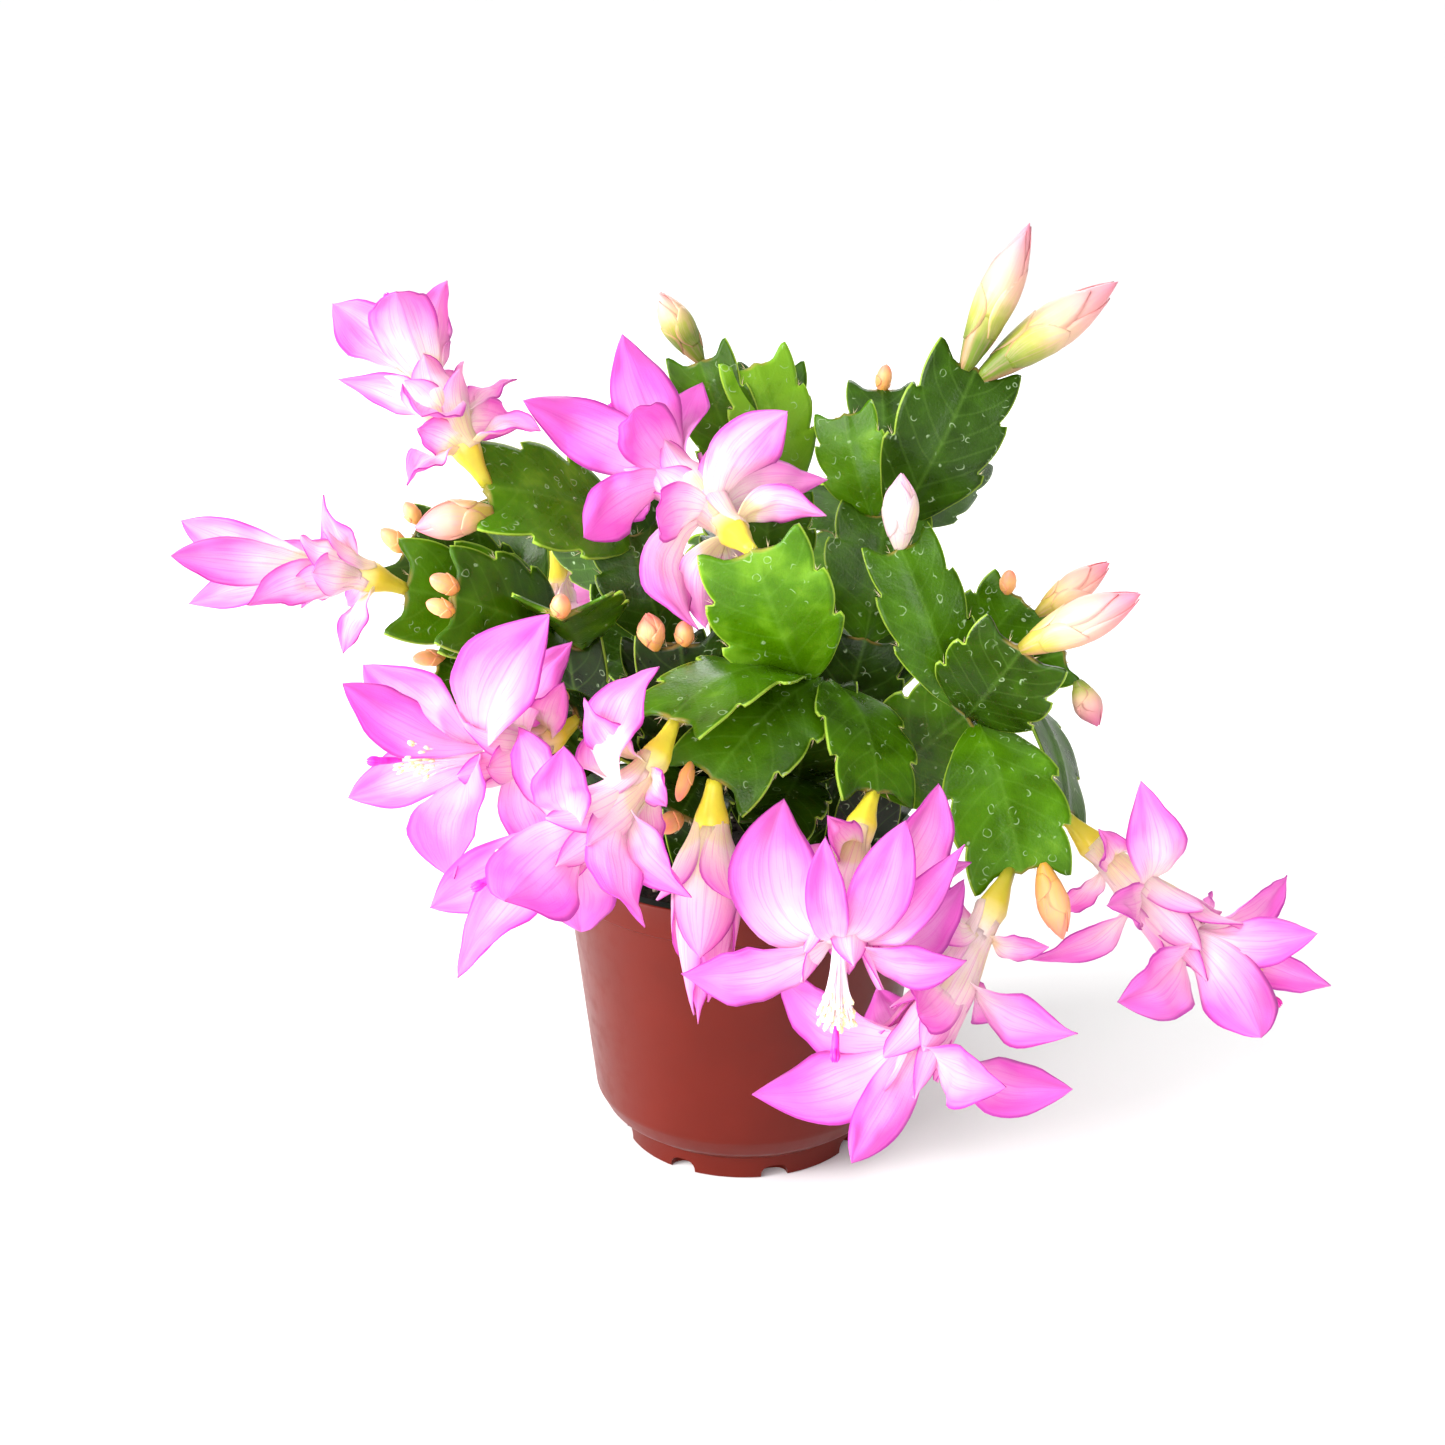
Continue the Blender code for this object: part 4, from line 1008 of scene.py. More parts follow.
def pot_plastic(outside, name):
    """Injection-moulded polypropylene.

    It gives the eye a satin skin with a broad soft highlight, faint clouds in its pigment,
    streaks where the melt flowed up the mould, and duller patches from handling.
    """
    material, tree, shader, place = start_material(name)
    cloud = add(tree, "TexNoise", grains(place, PIGMENT_CLOUD))
    dark = (*(c * 0.8 for c in outside[:3]), 1.0)
    light = (*(min(1.0, c * 1.12) for c in outside[:3]), 1.0)
    colour = blend(tree, dark, light, cloud)
    flow = [grain(width) for width in MELT_STREAK]
    stretch = add(tree, "Mapping", {"Vector": place, "Scale": flow})
    streak = add(tree, "TexNoise", {"Vector": stretch, "Scale": 1.0, "Detail": 2.0})
    scuff = add(tree, "TexNoise", grains(place, SCUFF, 5.0))
    dull = add(tree, "MapRange", [scuff, 0.45, 1.0, 0.34, 0.55])
    levels = {"IOR": 1.49, "Specular IOR Level": 0.2}
    coat(tree, shader, colour, dull, (streak, 0.12, 0.0001), levels)
    return material


def peat(name, dark, light):
    """Milled peat, moist from watering.

    It gives the eye a matt, almost black crumb with paler threads of undecayed moss.
    """
    material, tree, shader, place = start_material(name)
    crumb = add(tree, "TexNoise", grains(place, PEAT_CRUMB, 6.0))
    browns = [(0.35, dark), (0.62, light), (0.8, "#3A2C20")]
    colour = add(tree, "ValToRGB", [crumb], browns)
    coat(tree, shader, colour, 0.92, (crumb, 0.9, 0.0008), {})
    return material


def pad_skin(edge):
    """Waxy skin of a living stem pad, over watery flesh.

    It gives the eye a satin gloss on deep yellow-green, with soft clouds, a paler rib
    and side veins, thin bright rims, corky tips and the pale rings of dried drops.
    """
    material, tree, shader, place = start_material("waxy_pad_skin")
    _, away, reach, tone = growth_map(tree)
    cloud = add(tree, "TexNoise", grains(place, PAD_CLOUD, 4.0))
    # The tone that picks the green carries painted shade on the inner pads, and painted sheen
    # and painted shade on the pads that are set one by one
    shade = add(tree, "Math", [cloud, 0.55, tone], operation="MULTIPLY_ADD")
    greens = [(0.35, "#0E1A00"), (0.6, "#284600"), (0.85, "#437000"), (1.0, "#68961A")]
    green = add(tree, "ValToRGB", [shade], greens)
    green = blend(tree, green, "#86B548", away, (0.0, 0.05, 0.1, 0.0))
    slant = add(tree, "Math", [away, -0.28, reach], operation="MULTIPLY_ADD")
    comb = {
        "Vector": add(tree, "CombineXYZ", [slant]),
        "Scale": PAD_LENGTH / SIDE_VEIN_GAP / 2,
        "Distortion": 0.6,
    }
    side_veins = add(tree, "TexWave", comb)
    green = blend(tree, green, "#8DBB55", side_veins, (0.93, 1.0, 0.0, 0.05))
    green = blend(tree, green, edge, away, (0.96, 0.99, 0.0, 0.5))
    mark = drop_marks(tree, place)
    green = blend(tree, green, "#B5CFA0", mark)
    tip = add(tree, "MapRange", [reach, 0.978, 0.994, 0.0, 0.5])
    inner = add(tree, "MapRange", [away, 0.4, 0.2, 0.0, 1.0])
    corky = add(tree, "Math", [tip, inner], operation="MULTIPLY")
    green = blend(tree, green, "#9A7A3C", corky)
    pores = add(tree, "TexNoise", grains(place, PAD_PORE, 2.0))
    height = add(tree, "Math", [mark, 1.0, pores], operation="MULTIPLY_ADD")
    gloss = add(tree, "MapRange", [cloud, 0.3, 0.7, 0.24, 0.38])
    levels = {"IOR": 1.45, "Specular IOR Level": 0.22}
    coat(tree, shader, green, gloss, (height, 0.4, 0.0002), levels)
    return material


def drop_marks(tree, place):
    """The rings that water drops leave as they dry, bent a little and here and there."""
    bent = add(tree, "TexNoise", grains(place, DROP_BEND, 1.0)).outputs["Color"]
    warp = [bent, (DROP_WARP * MM,) * 3, place]
    warped = add(tree, "VectorMath", warp, operation="MULTIPLY_ADD")
    cells = add(tree, "TexVoronoi", grains(warped, DROP_GAP, 0.0)).outputs["Distance"]
    apart = add(tree, "Math", [cells, DROP_RADIUS / DROP_GAP], operation="SUBTRACT")
    apart = add(tree, "Math", [apart], operation="ABSOLUTE")
    line = add(tree, "MapRange", [apart, 0.0, 0.045, 1.0, 0.0])
    chance = add(tree, "TexNoise", grains(place, DROP_PATCH, 0.0))
    there = add(tree, "MapRange", [chance, 0.54, 0.66, 0.0, 0.5])
    return add(tree, "Math", [line, there], operation="MULTIPLY")


def petal_skin(edges):
    """Living petal, under half a millimetre thick.

    It gives the eye a silky sheet that light shines through, white at its base and pink
    towards its edges and tip, with fine veins along it and a darker hem.
    """
    material, tree, shader, place = start_material("silky_petal")
    across, away, reach, tone = growth_map(tree)
    cloud = add(tree, "TexNoise", grains(place, PETAL_CLOUD))
    side = add(tree, "Math", [away, 2.2], operation="POWER")
    soft = {"interpolation_type": "SMOOTHSTEP"}
    near = add(tree, "MapRange", [reach, 0.1, 0.6, 0.0, 0.8], **soft)
    far = add(tree, "MapRange", [reach, 0.12, 1.0, 0.0, 0.8], **soft)
    depth = add(tree, "Math", [side, near, far], operation="MULTIPLY_ADD")
    depth = add(tree, "Math", [cloud, 0.35, depth], operation="MULTIPLY_ADD")
    depth = add(tree, "Math", [tone, -0.22, depth], operation="MULTIPLY_ADD")
    pinks = [(0.12, "#FFF0F4"), (0.3, "#FBC6EC"), (0.7, "#F6A6E6"), (1.0, edges)]
    peaches = [(0.0, "#FBF2C8"), (0.05, "#FFF2EC"), (0.3, "#FFD8EC"), (0.9, "#F690DC")]
    pink = add(tree, "ValToRGB", [depth], pinks)
    peach = add(tree, "ValToRGB", [depth], peaches)
    colour = blend(tree, pink, peach, tone)
    veins = long_veins(tree, across, reach, PETAL_VEINS)
    colour = blend(tree, colour, "#EC58D6", veins, (0.52, 0.66, 0.0, 0.34), **soft)
    colour = blend(tree, colour, "#E858D0", away, (0.0, 0.04, 0.34, 0.0), **soft)
    hem = add(tree, "MapRange", [away, 0.87, 0.97, 0.0, 1.0], **soft)
    hem = add(tree, "Math", [hem, near], operation="MULTIPLY")
    colour = blend(tree, colour, "#C234B2", hem)
    cells = add(tree, "TexNoise", grains(place, PETAL_CELL, 1.0))
    height = add(tree, "Math", [cells, 0.5, veins], operation="MULTIPLY_ADD")
    levels = {"IOR": 1.4, "Sheen Weight": 0.15}
    coat(tree, shader, colour, 0.46, (height, 0.45, 0.0003), levels)
    through_light(tree, shader, colour, PETAL_GLOW)
    return material


def plain_flesh(name, low, high, width, roughness, glow=0.0):
    """Plant matter of one kind, clouded between two colours in grains of a width in mm."""
    material, tree, shader, place = start_material(name)
    cloud = add(tree, "TexNoise", grains(place, width))
    colour = add(tree, "ValToRGB", [cloud], [(0.35, low), (0.65, high)])
    coat(tree, shader, colour, roughness, (cloud, 0.2, 0.0002), {"IOR": 1.42})
    if glow:
        through_light(tree, shader, colour, glow)
    return material


def ovary_skin(yellow):
    """Waxy skin of an ovary, which turns into the floral tube.

    It gives the eye a small glossy yellow fruit with faint brown flecks, and a tube that
    pales to white.
    """
    material, tree, shader, place = start_material("waxy_ovary")
    _, _, reach, tone = growth_map(tree)
    bright = [(0.0, "#E6DE3A"), (0.25, yellow), (0.36, "#FFF2A4"), (0.5, "#FFF4EE")]
    olive = [(0.0, "#A3A02A"), (0.25, "#D2BE36"), (0.36, "#F0DC8C"), (0.5, "#FFEAE4")]
    young = add(tree, "ValToRGB", [reach], bright)
    old = add(tree, "ValToRGB", [reach], olive)
    colour = blend(tree, young, old, tone)
    flecks = add(tree, "TexNoise", grains(place, OVARY_FLECK))
    colour = blend(tree, colour, "#C9A640", flecks, (0.5, 0.8, 0.0, 0.2))
    coat(tree, shader, colour, 0.32, (flecks, 0.15, 0.0002), {"IOR": 1.45})
    through_light(tree, shader, colour, OVARY_GLOW)
    return material


def bud_skin(orange):
    """Waxy petals, still furled.

    They give the eye a smooth bud, green-yellow at its foot, cream in the middle and
    pink at its tip and along each petal's hem. A young bud is orange all over.
    """
    material, tree, shader, place = start_material("waxy_bud")
    across, away, reach, tone = growth_map(tree)
    cloud = add(tree, "TexNoise", grains(place, BUD_CLOUD))
    spread = add(tree, "Math", [cloud, 0.14, reach], operation="MULTIPLY_ADD")
    green = add(tree, "Math", [tone, 0.0], operation="MINIMUM")
    spread = add(tree, "Math", [green, 0.4, spread], operation="MULTIPLY_ADD")
    large = [(0.1, "#6A8022"), (0.28, "#A8AA48"), (0.42, "#DCBE90"), (0.62, "#EAB2A6")]
    large.append((1.0, "#E0749E"))
    small = [(0.1, "#E8A83C"), (0.4, orange), (0.75, "#FFC07A"), (1.0, "#FF9A74")]
    grown = add(tree, "ValToRGB", [spread], large)
    young = add(tree, "ValToRGB", [spread], small)
    colour = blend(tree, grown, young, tone)
    colour = blend(tree, colour, "#FA9C9C", away, (0.8, 1.0, 0.0, 0.4))
    veins = long_veins(tree, across, reach, BUD_VEINS)
    colour = blend(tree, colour, "#EC90B4", veins, (0.5, 0.7, 0.0, 0.22))
    coat(tree, shader, colour, 0.4, (veins, 0.25, 0.0003), {"IOR": 1.43})
    through_light(tree, shader, colour, BUD_GLOW)
    return material


def wall_radius(height):
    """Outer radius of the pot's plain wall."""
    top = POT_HEIGHT - RIM_BAND
    share = (height - SHOULDER_HEIGHT) / (top - SHOULDER_HEIGHT)
    return along(SHOULDER_RADIUS, RIM_RADIUS - RIM_STEP, share)


def inner_profile(top, gap):
    """The pot's inside from the height top down to the floor, shrunk by gap."""
    return [
        (wall_radius(top) - POT_WALL - LEDGE - gap, top),
        (SHOULDER_RADIUS - POT_WALL - gap, SHOULDER_HEIGHT + gap),
        (CHAMFER_RADIUS - POT_WALL - gap, FOOT_HEIGHT + POT_WALL + gap),
        (CHAMFER_RADIUS - POT_WALL - gap, FLOOR_TOP + gap),
    ]


def cut_away(piece, cutters):
    """Cuts pieces out of a piece, and removes them."""
    for cutter in cutters:
        cut = piece.modifiers.new("Cut", "BOOLEAN")
        cut.operation = "DIFFERENCE"
        cut.solver = "EXACT"
        cut.object = cutter
    apply_modifiers(piece)
    for cutter in cutters:
        discard(cutter)


def notch_cutter(turn):
    """A rounded block that opens one drainage notch in the pot's foot."""
    centre = (FOOT_RADIUS * MM * math.cos(turn), FOOT_RADIUS * MM * math.sin(turn), 0)
    cube = bpy.ops.mesh.primitive_cube_add
    block = begin(cube, "notch_cutter", size=1, location=centre, rotation=(0, 0, turn))
    block.scale = (NOTCH_DEPTH * MM, NOTCH_WIDTH * MM, 2 * NOTCH_HEIGHT * MM)
    apply_place()
    edit_all()
    bpy.ops.mesh.bevel(offset=NOTCH_EASE * MM, segments=NOTCH_SEGMENTS)
    bpy.ops.object.mode_set(mode="OBJECT")
    return block


def drain_cutter(turn):
    """A rod that opens one drain hole in the pot's floor."""
    size = {"vertices": DRAIN_SIDES, "radius": DRAIN_RADIUS * MM, "depth": 4 * FLOOR_TOP * MM}
    centre = (DRAIN_RING * MM * math.cos(turn), DRAIN_RING * MM * math.sin(turn), 0)
    rod = begin(bpy.ops.mesh.primitive_cylinder_add, "drain_cutter", location=centre, **size)
    apply_place()
    return rod


def model_pot(looks):
    band_foot = POT_HEIGHT - RIM_BAND
    ease = EDGE_EASE
    # A point just before and just after a corner rounds it
    profile = [
        (CHANNEL_INNER * 0.5, 0),
        (CHANNEL_INNER, 0),
        (CHANNEL_INNER + CHANNEL_SLOPE, CHANNEL_RISE),
        (CHANNEL_OUTER - CHANNEL_SLOPE, CHANNEL_RISE),
        (CHANNEL_OUTER, 0),
        (FOOT_RADIUS - ease, 0),
        (FOOT_RADIUS - ease * 0.1, ease * 0.6),
        (FOOT_RADIUS, FOOT_HEIGHT),
        (CHAMFER_RADIUS, FOOT_HEIGHT + ease),
        (TOE_RADIUS - 0.3, TOE_HEIGHT - 0.4),
        (TOE_RADIUS, TOE_HEIGHT),
        (TOE_RADIUS + 0.25, TOE_HEIGHT + 0.5),
        (SHOULDER_RADIUS - 0.2, SHOULDER_HEIGHT - 0.6),
        (SHOULDER_RADIUS, SHOULDER_HEIGHT),
        (SHOULDER_RADIUS + 0.1, SHOULDER_HEIGHT + 0.7),
        (wall_radius(band_foot) - 0.05, band_foot - 0.4),
        (wall_radius(band_foot) + 0.05, band_foot),
        (RIM_RADIUS - ease, band_foot + 0.1),
        (RIM_RADIUS - ease * 0.2, band_foot + ease),
        (RIM_RADIUS, band_foot + 2 * ease),
        (RIM_RADIUS, POT_HEIGHT - 2 * ease),
        (RIM_RADIUS - ease * 0.3, POT_HEIGHT - ease * 0.5),
        (RIM_RADIUS - ease, POT_HEIGHT),
        (RIM_RADIUS - LIP, POT_HEIGHT),
        (RIM_RADIUS - LIP - ease * 0.6, POT_HEIGHT - ease * 0.5),
        (RIM_RADIUS - LIP - ease, POT_HEIGHT - LEDGE_DROP),
    ]
    profile += inner_profile(POT_HEIGHT - LEDGE_DROP, 0)
    pot = lathe("moulded_pot", profile, POT_SIDES)
    turns = [math.radians(NOTCH_TURN - 90 + 360 * k / NOTCHES) for k in range(NOTCHES)]
    cutters = [notch_cutter(turn) for turn in turns]
    cutters += [drain_cutter(turn) for turn in turns[:: NOTCHES // DRAIN_HOLES]]
    cut_away(pot, cutters)
    pot.data.materials.clear()
    pot.data.materials.append(pot_plastic(tuple(looks.outside), "moulded_brown_plastic"))
    pot.data.materials.append(pot_plastic(tuple(looks.inside), "moulded_black_plastic"))
    for face in pot.data.polygons:
        spoke = Vector((face.center.x, face.center.y, 0))
        inward = face.normal.dot(spoke.normalized()) < -0.1
        upward = face.normal.z > 0.5 and spoke.length < (RIM_RADIUS - EDGE_EASE) * MM
        above = face.center.z > (FLOOR_TOP - 0.1) * MM
        face.material_index = int(above and (inward or upward))
    smooth(pot, SHARP_ANGLE)
    present(pot, "pot")


def crumb_blank(name):
    """A small lumpy ball of radius 1."""
    ball = bpy.ops.mesh.primitive_ico_sphere_add
    blank = begin(ball, name, subdivisions=1, radius=1)
    pace, rise = CRUMB_ROUGHNESS
    for vertex in blank.data.vertices:
        vertex.co *= 1 + rise * noise.noise(vertex.co * pace)
    return blank


def soil_height(x, y):
    """The height of the soil's top at a place, in mm."""
    height = SOIL_TOP
    for layer, (pace, rise) in {0: SOIL_LUMPS, 9: SOIL_GRIT}.items():
        height += rise * noise.noise(Vector((x, y, layer)) * pace)
    return height


def model_soil(looks):
    body = inner_profile(SOIL_TOP - 1, SOIL_GAP)[::-1]
    edge = body[-1][0]
    rings = [(edge * (1 - k / SOIL_RINGS), SOIL_TOP) for k in range(1, SOIL_RINGS)]
    soil = lathe("potting_mix", body + rings, SOIL_SIDES)
    for vertex in soil.data.vertices:
        if vertex.co.z > (SOIL_TOP - 0.5) * MM:
            vertex.co.z = soil_height(vertex.co.x / MM, vertex.co.y / MM) * MM
    soil.data.materials.append(peat("milled_peat", tuple(looks.dark), tuple(looks.light)))
    soil.data.shade_smooth()
    present(soil, "potting_soil")
    scatter_crumbs(looks.crumbs, edge - SOIL_MARGIN)


def scatter_crumbs(count, radius):
    """Loose crumbs of peat on the soil, with a grain of perlite now and then."""
    draw = random.Random(SOIL_SEED)
    blank = crumb_blank("crumb_blank")
    crumbs, perlite = Gathering(), Gathering()
    for k in range(count):
        turn = draw.uniform(0, 2 * math.pi)
        reach = radius * math.sqrt(draw.random())
        x, y = reach * math.cos(turn), reach * math.sin(turn)
        pale = k % PERLITE_EVERY == 0
        size = draw.uniform(*(PERLITE_SIZE if pale else CRUMB_SIZE))
        spot = Vector((x, y, soil_height(x, y) + size * CRUMB_RISE))
        spin = Matrix.Rotation(draw.uniform(0, 6), 3, "Z")
        spin = spin @ Matrix.Rotation(draw.uniform(0, 6), 3, "X")
        narrow = size * draw.uniform(*CRUMB_NARROW)
        shape = spin @ Matrix.Diagonal((size, narrow, size * CRUMB_FLAT))
        (perlite if pale else crumbs).lay(blank, laid(spot, shape))
    discard(blank)
    dirt = peat("peat_crumbs", "#0D0A08", "#2A1E15")
    stone = plain_flesh("expanded_perlite", "#B9A98C", "#E5DCC8", GRAIN_CLOUD, 0.9)
    present(crumbs.finish("soil_crumbs", [dirt]))
    present(perlite.finish("soil_grains", [stone]))


def edge_rows(edge):
    """(share of length, share of half width, tooth) for each row of a pad's blank."""
    rows = [(edge[0][0], edge[0][1], 0.0)]
    for (s0, h0, _, _), (s1, h1, count, bulge) in zip(edge, edge[1:]):
        for k in range(1, count + 1):
            t = k / count
            half = along(h0, h1, t) + bulge * math.sin(math.pi * t)
            tooth = 1.0 if h1 < h0 and k == 1 else 0.0
            rows.append((along(s0, s1, t), half, tooth))
    return rows


def end_line(out):
    """Where a toothed pad ends, as a share of its length: dipped, between two horns."""
    horn = smooth_step((out - 0.45) / 0.5) * (HORN_TIP - DIP)
    return DIP + horn + AREOLE_RISE * smooth_step(1 - out / 0.2)


def pad_blank(name, edge, toothed):
    """A flat pad, one unit long and one unit to each side, with its teeth and horns."""
    rows = edge_rows(edge)
    last = len(rows) - 1
    blank = grid_blank(name, PAD_COLUMNS, last)
    for vertex in blank.data.vertices:
        column = vertex.co.x
        share, half, tooth = rows[round(vertex.co.y * last)]
        reach = math.copysign(abs(column) ** COLUMN_CROWDING, column)
        out = abs(reach)
        if toothed:
            near = smooth_step((share - 0.8) / 0.2)
            share += (end_line(out) - 1) * near
            share += tooth * TOOTH_RISE * out**TOOTH_POWER
            half += tooth * TOOTH_PROUD * out**TOOTH_POWER
        vertex.co = (reach * half, share, reach)
    return blank


def pad_frame(start, tip, face):
    """Unit vectors of a pad: along it, across it, and out of its upper face."""
    axis = (tip - start).normalized()
    across = axis.cross(Vector(face)).normalized()
    return axis, across, across.cross(axis)


def stem_points(name):
    """Start and tip of each pad of a stem, and the vector across each."""
    root, pads = STEMS[name]
    top = Vector((root[0], root[1], SOIL_TOP + ROOT_COLLAR - ROOT_OVERLAP))
    made = []
    for pad in pads:
        tip = Vector(pad.tip)
        start = top.copy()
        if pad.parent:
            _, parent_tip, parent_across = made[pad.parent - 1]
            start = parent_tip + parent_across * pad.shift
        _, across, _ = pad_frame(start, tip, pad.face)
        made.append((start, tip, across))
    return made


def pad_place(start, tip, pad, flutter):
    """A function from a blank pad's point to its place on the plant."""
    length = (tip - start).length
    axis, across, normal = pad_frame(start, tip, pad.face)

    def place(half, share, reach):
        sag = 4 * pad.arch * length * share * (1 - share)
        slope = 4 * pad.arch * (1 - 2 * share)
        upright = (normal - axis * slope).normalized()
        crease = math.sqrt(half * half + FOLD_EASE) - FOLD_REST
        lift = pad.fold * crease * pad.width / 2
        wave = math.sin(share * PAD_WAVES + flutter + reach) * abs(reach) ** 2
        lift += PAD_WAVE * wave * min(1.0, 3 * share)
        point = start + axis * length * share + normal * sag
        return point + across * half * pad.width / 2 + upright * lift

    return place


def pad_wall(rib, edge):
    """A function from a blank pad's point to its thickness there."""

    def wall(half, share, reach):
        thick = along(edge, follow(rib, share), (1 - abs(reach)) ** FLANK_POWER)
        return thick + PAD_RIDGE * math.exp(-((reach / RIDGE_REACH) ** 2))

    return wall


def bristle_blank():
    size = {"vertices": 3, "radius1": 1, "radius2": 0, "depth": 1, "location": (0, 0, 0.5)}
    blank = begin(bpy.ops.mesh.primitive_cone_add, "bristle_blank", **size)
    apply_place()
    return blank


def lay_bristles(heap, blank, place, draw):
    """A tuft of fine bristles in each notch of a pad's edge, and three at its end."""
    tufts = [(tuft, side) for tuft in SIDE_TUFTS for side in (-1, 1)]
    tufts += [(END_TUFT, side) for side in (-1, 0, 1)]
    for (half, share, out), side in tufts:
        half, out = side * half, side * out
        root = place(half, share, out)
        ahead = place(half, share + 0.1, out) - root
        aside = place(half * 1.2 + 0.001, share, out) - root
        for _ in range(BRISTLES):
            length = draw.uniform(*BRISTLE_LENGTH)
            lean = Vector(draw.uniform(-0.5, 0.5) for _ in range(3))
            way = ahead.normalized() + aside.normalized() * 0.5 + lean
            turn = way.to_track_quat("Z", "Y").to_matrix()
            shape = turn @ Matrix.Diagonal((BRISTLE_RADIUS, BRISTLE_RADIUS, length))
            heap.lay(blank, laid(root, shape))


def pad_orders(pads):
    """How many pads lie between each pad and the root."""
    orders = []
    for pad in pads:
        orders.append(orders[pad.parent - 1] + 1 if pad.parent else 0)
    return orders


def root_collar(tube, root):
    """The corky foot of a stem, partly in the soil."""
    collar = Gathering()
    foot = Vector((*root, SOIL_TOP - ROOT_DEPTH))
    high, wide = ROOT_COLLAR + ROOT_DEPTH, ROOT_RADIUS
    collar.lay(tube, lambda a, b, c: foot + Vector((a * wide, b * wide, c * high)))
    return collar


def grow_stems(looks):
    toothed = pad_blank("toothed_blank", TOOTHED_EDGE, True)
    plain = pad_blank("plain_blank", PLAIN_EDGE, False)
    tube = tube_blank("collar_blank", *COLLAR_MESH)
    bristle = bristle_blank()
    skin = pad_skin(tuple(looks.rim))
    hair = plain_flesh("dry_bristle", "#C9B183", "#EBDDB8", BRISTLE_CLOUD, 0.7)
    bark = plain_flesh("corky_bark", "#4F4A22", "#77713A", BARK_CLOUD, 0.8)
    for number, (name, (root, pads)) in enumerate(STEMS.items()):
        draw = random.Random(number)
        stem, tufts = Gathering(), Gathering()
        places, orders = stem_points(name), pad_orders(pads)
        for i, (pad, (start, tip, _)) in enumerate(zip(pads, places)):
            place = pad_place(start, tip, pad, draw.uniform(0, 6))
            # The tone steps up from the root, which paints the inner pads darker as painted
            # shade
            tone = PAD_TONE + ORDER_TONE_AND_SHADE * orders[i] + draw.uniform(*TONE_RANGE)
            # Pads set one by one carry painted sheen and painted shade in their tone
            tone = PAD_SHEEN_AND_SHADE.get(name, {}).get(i + 1, tone)
            blank, rib = (toothed, TOOTHED_RIB) if pad.parent else (plain, PLAIN_RIB)
            stem.lay(blank, place, tone, wall=pad_wall(rib, looks.edge / MM))
            if pad.parent:
                lay_bristles(tufts, bristle, place, draw)
        present(stem.finish(name + "_pads", [skin]), name)
        collar = root_collar(tube, root)
        present(collar.finish(name + "_root_collar", [bark]))
        present(tufts.finish(name + "_bristles", [hair]))
    discard(toothed, plain, tube, bristle)


def seat_on(stem, number, shift):
    """Where a bloom or bud starts: just inside the end of its pad."""
    start, tip, _ = stem_points(stem)[number - 1]
    pad = STEMS[stem][1][number - 1]
    half = shift / (pad.width / 2)
    reach = max(-1.0, min(1.0, half / TIP_HALF))
    place = pad_place(start, tip, pad, 0.0)
    end = place(half, end_line(abs(reach)), reach)
    return end - (tip - start).normalized() * SEAT_DEPTH


def curve_point(a, b, c, share):
    """A point on the quadratic curve from a to c that leaves towards b."""
    return along(along(a, b, share), along(b, c, share), share)


def curve_frame(line, share, upward):
    """A point on a curve, and two unit vectors square to the curve there."""
    a, b, c = line
    end = min(share, 1.0)
    ahead = (along(b, c, end) - along(a, b, end)).normalized()
    side = square_to(upward, ahead)
    return curve_point(a, b, c, share), side, ahead.cross(side)


def straight(a, b):
    """A curve that runs straight from a to b."""
    return a, along(a, b, 0.5), b


def lean_angle(light, heading, inward):
    """The turn about a petal's heading that brings one of its faces to the light."""
    aimed = light - heading * light.dot(heading)
    if aimed.dot(inward) < 0:
        aimed = -aimed
    side = heading.cross(inward)
    most = math.radians(MOST_LEAN)
    return max(-most, min(most, math.atan2(aimed.dot(side), aimed.dot(inward))))


def petal_line(root, axis, spoke, petal):
    """(point, heading, inward) in steps along a petal, which turns outwards."""
    _, tilt, length, _ = petal
    rise = min(max(tilt - PETAL_LAG, PETAL_RISE[0]), PETAL_RISE[1])
    point, line = root.copy(), []
    for k in range(PETAL_PATH_STEPS + 1):
        ease = 1 - (1 - k / PETAL_PATH_STEPS) ** 2
        angle = math.radians(rise + PETAL_SWING * (tilt - rise) * ease)
        heading = turned(axis, spoke, angle)
        inward = axis * math.sin(angle) - spoke * math.cos(angle)
        line.append((point.copy(), heading, inward))
        point += heading * length / PETAL_PATH_STEPS
    return line


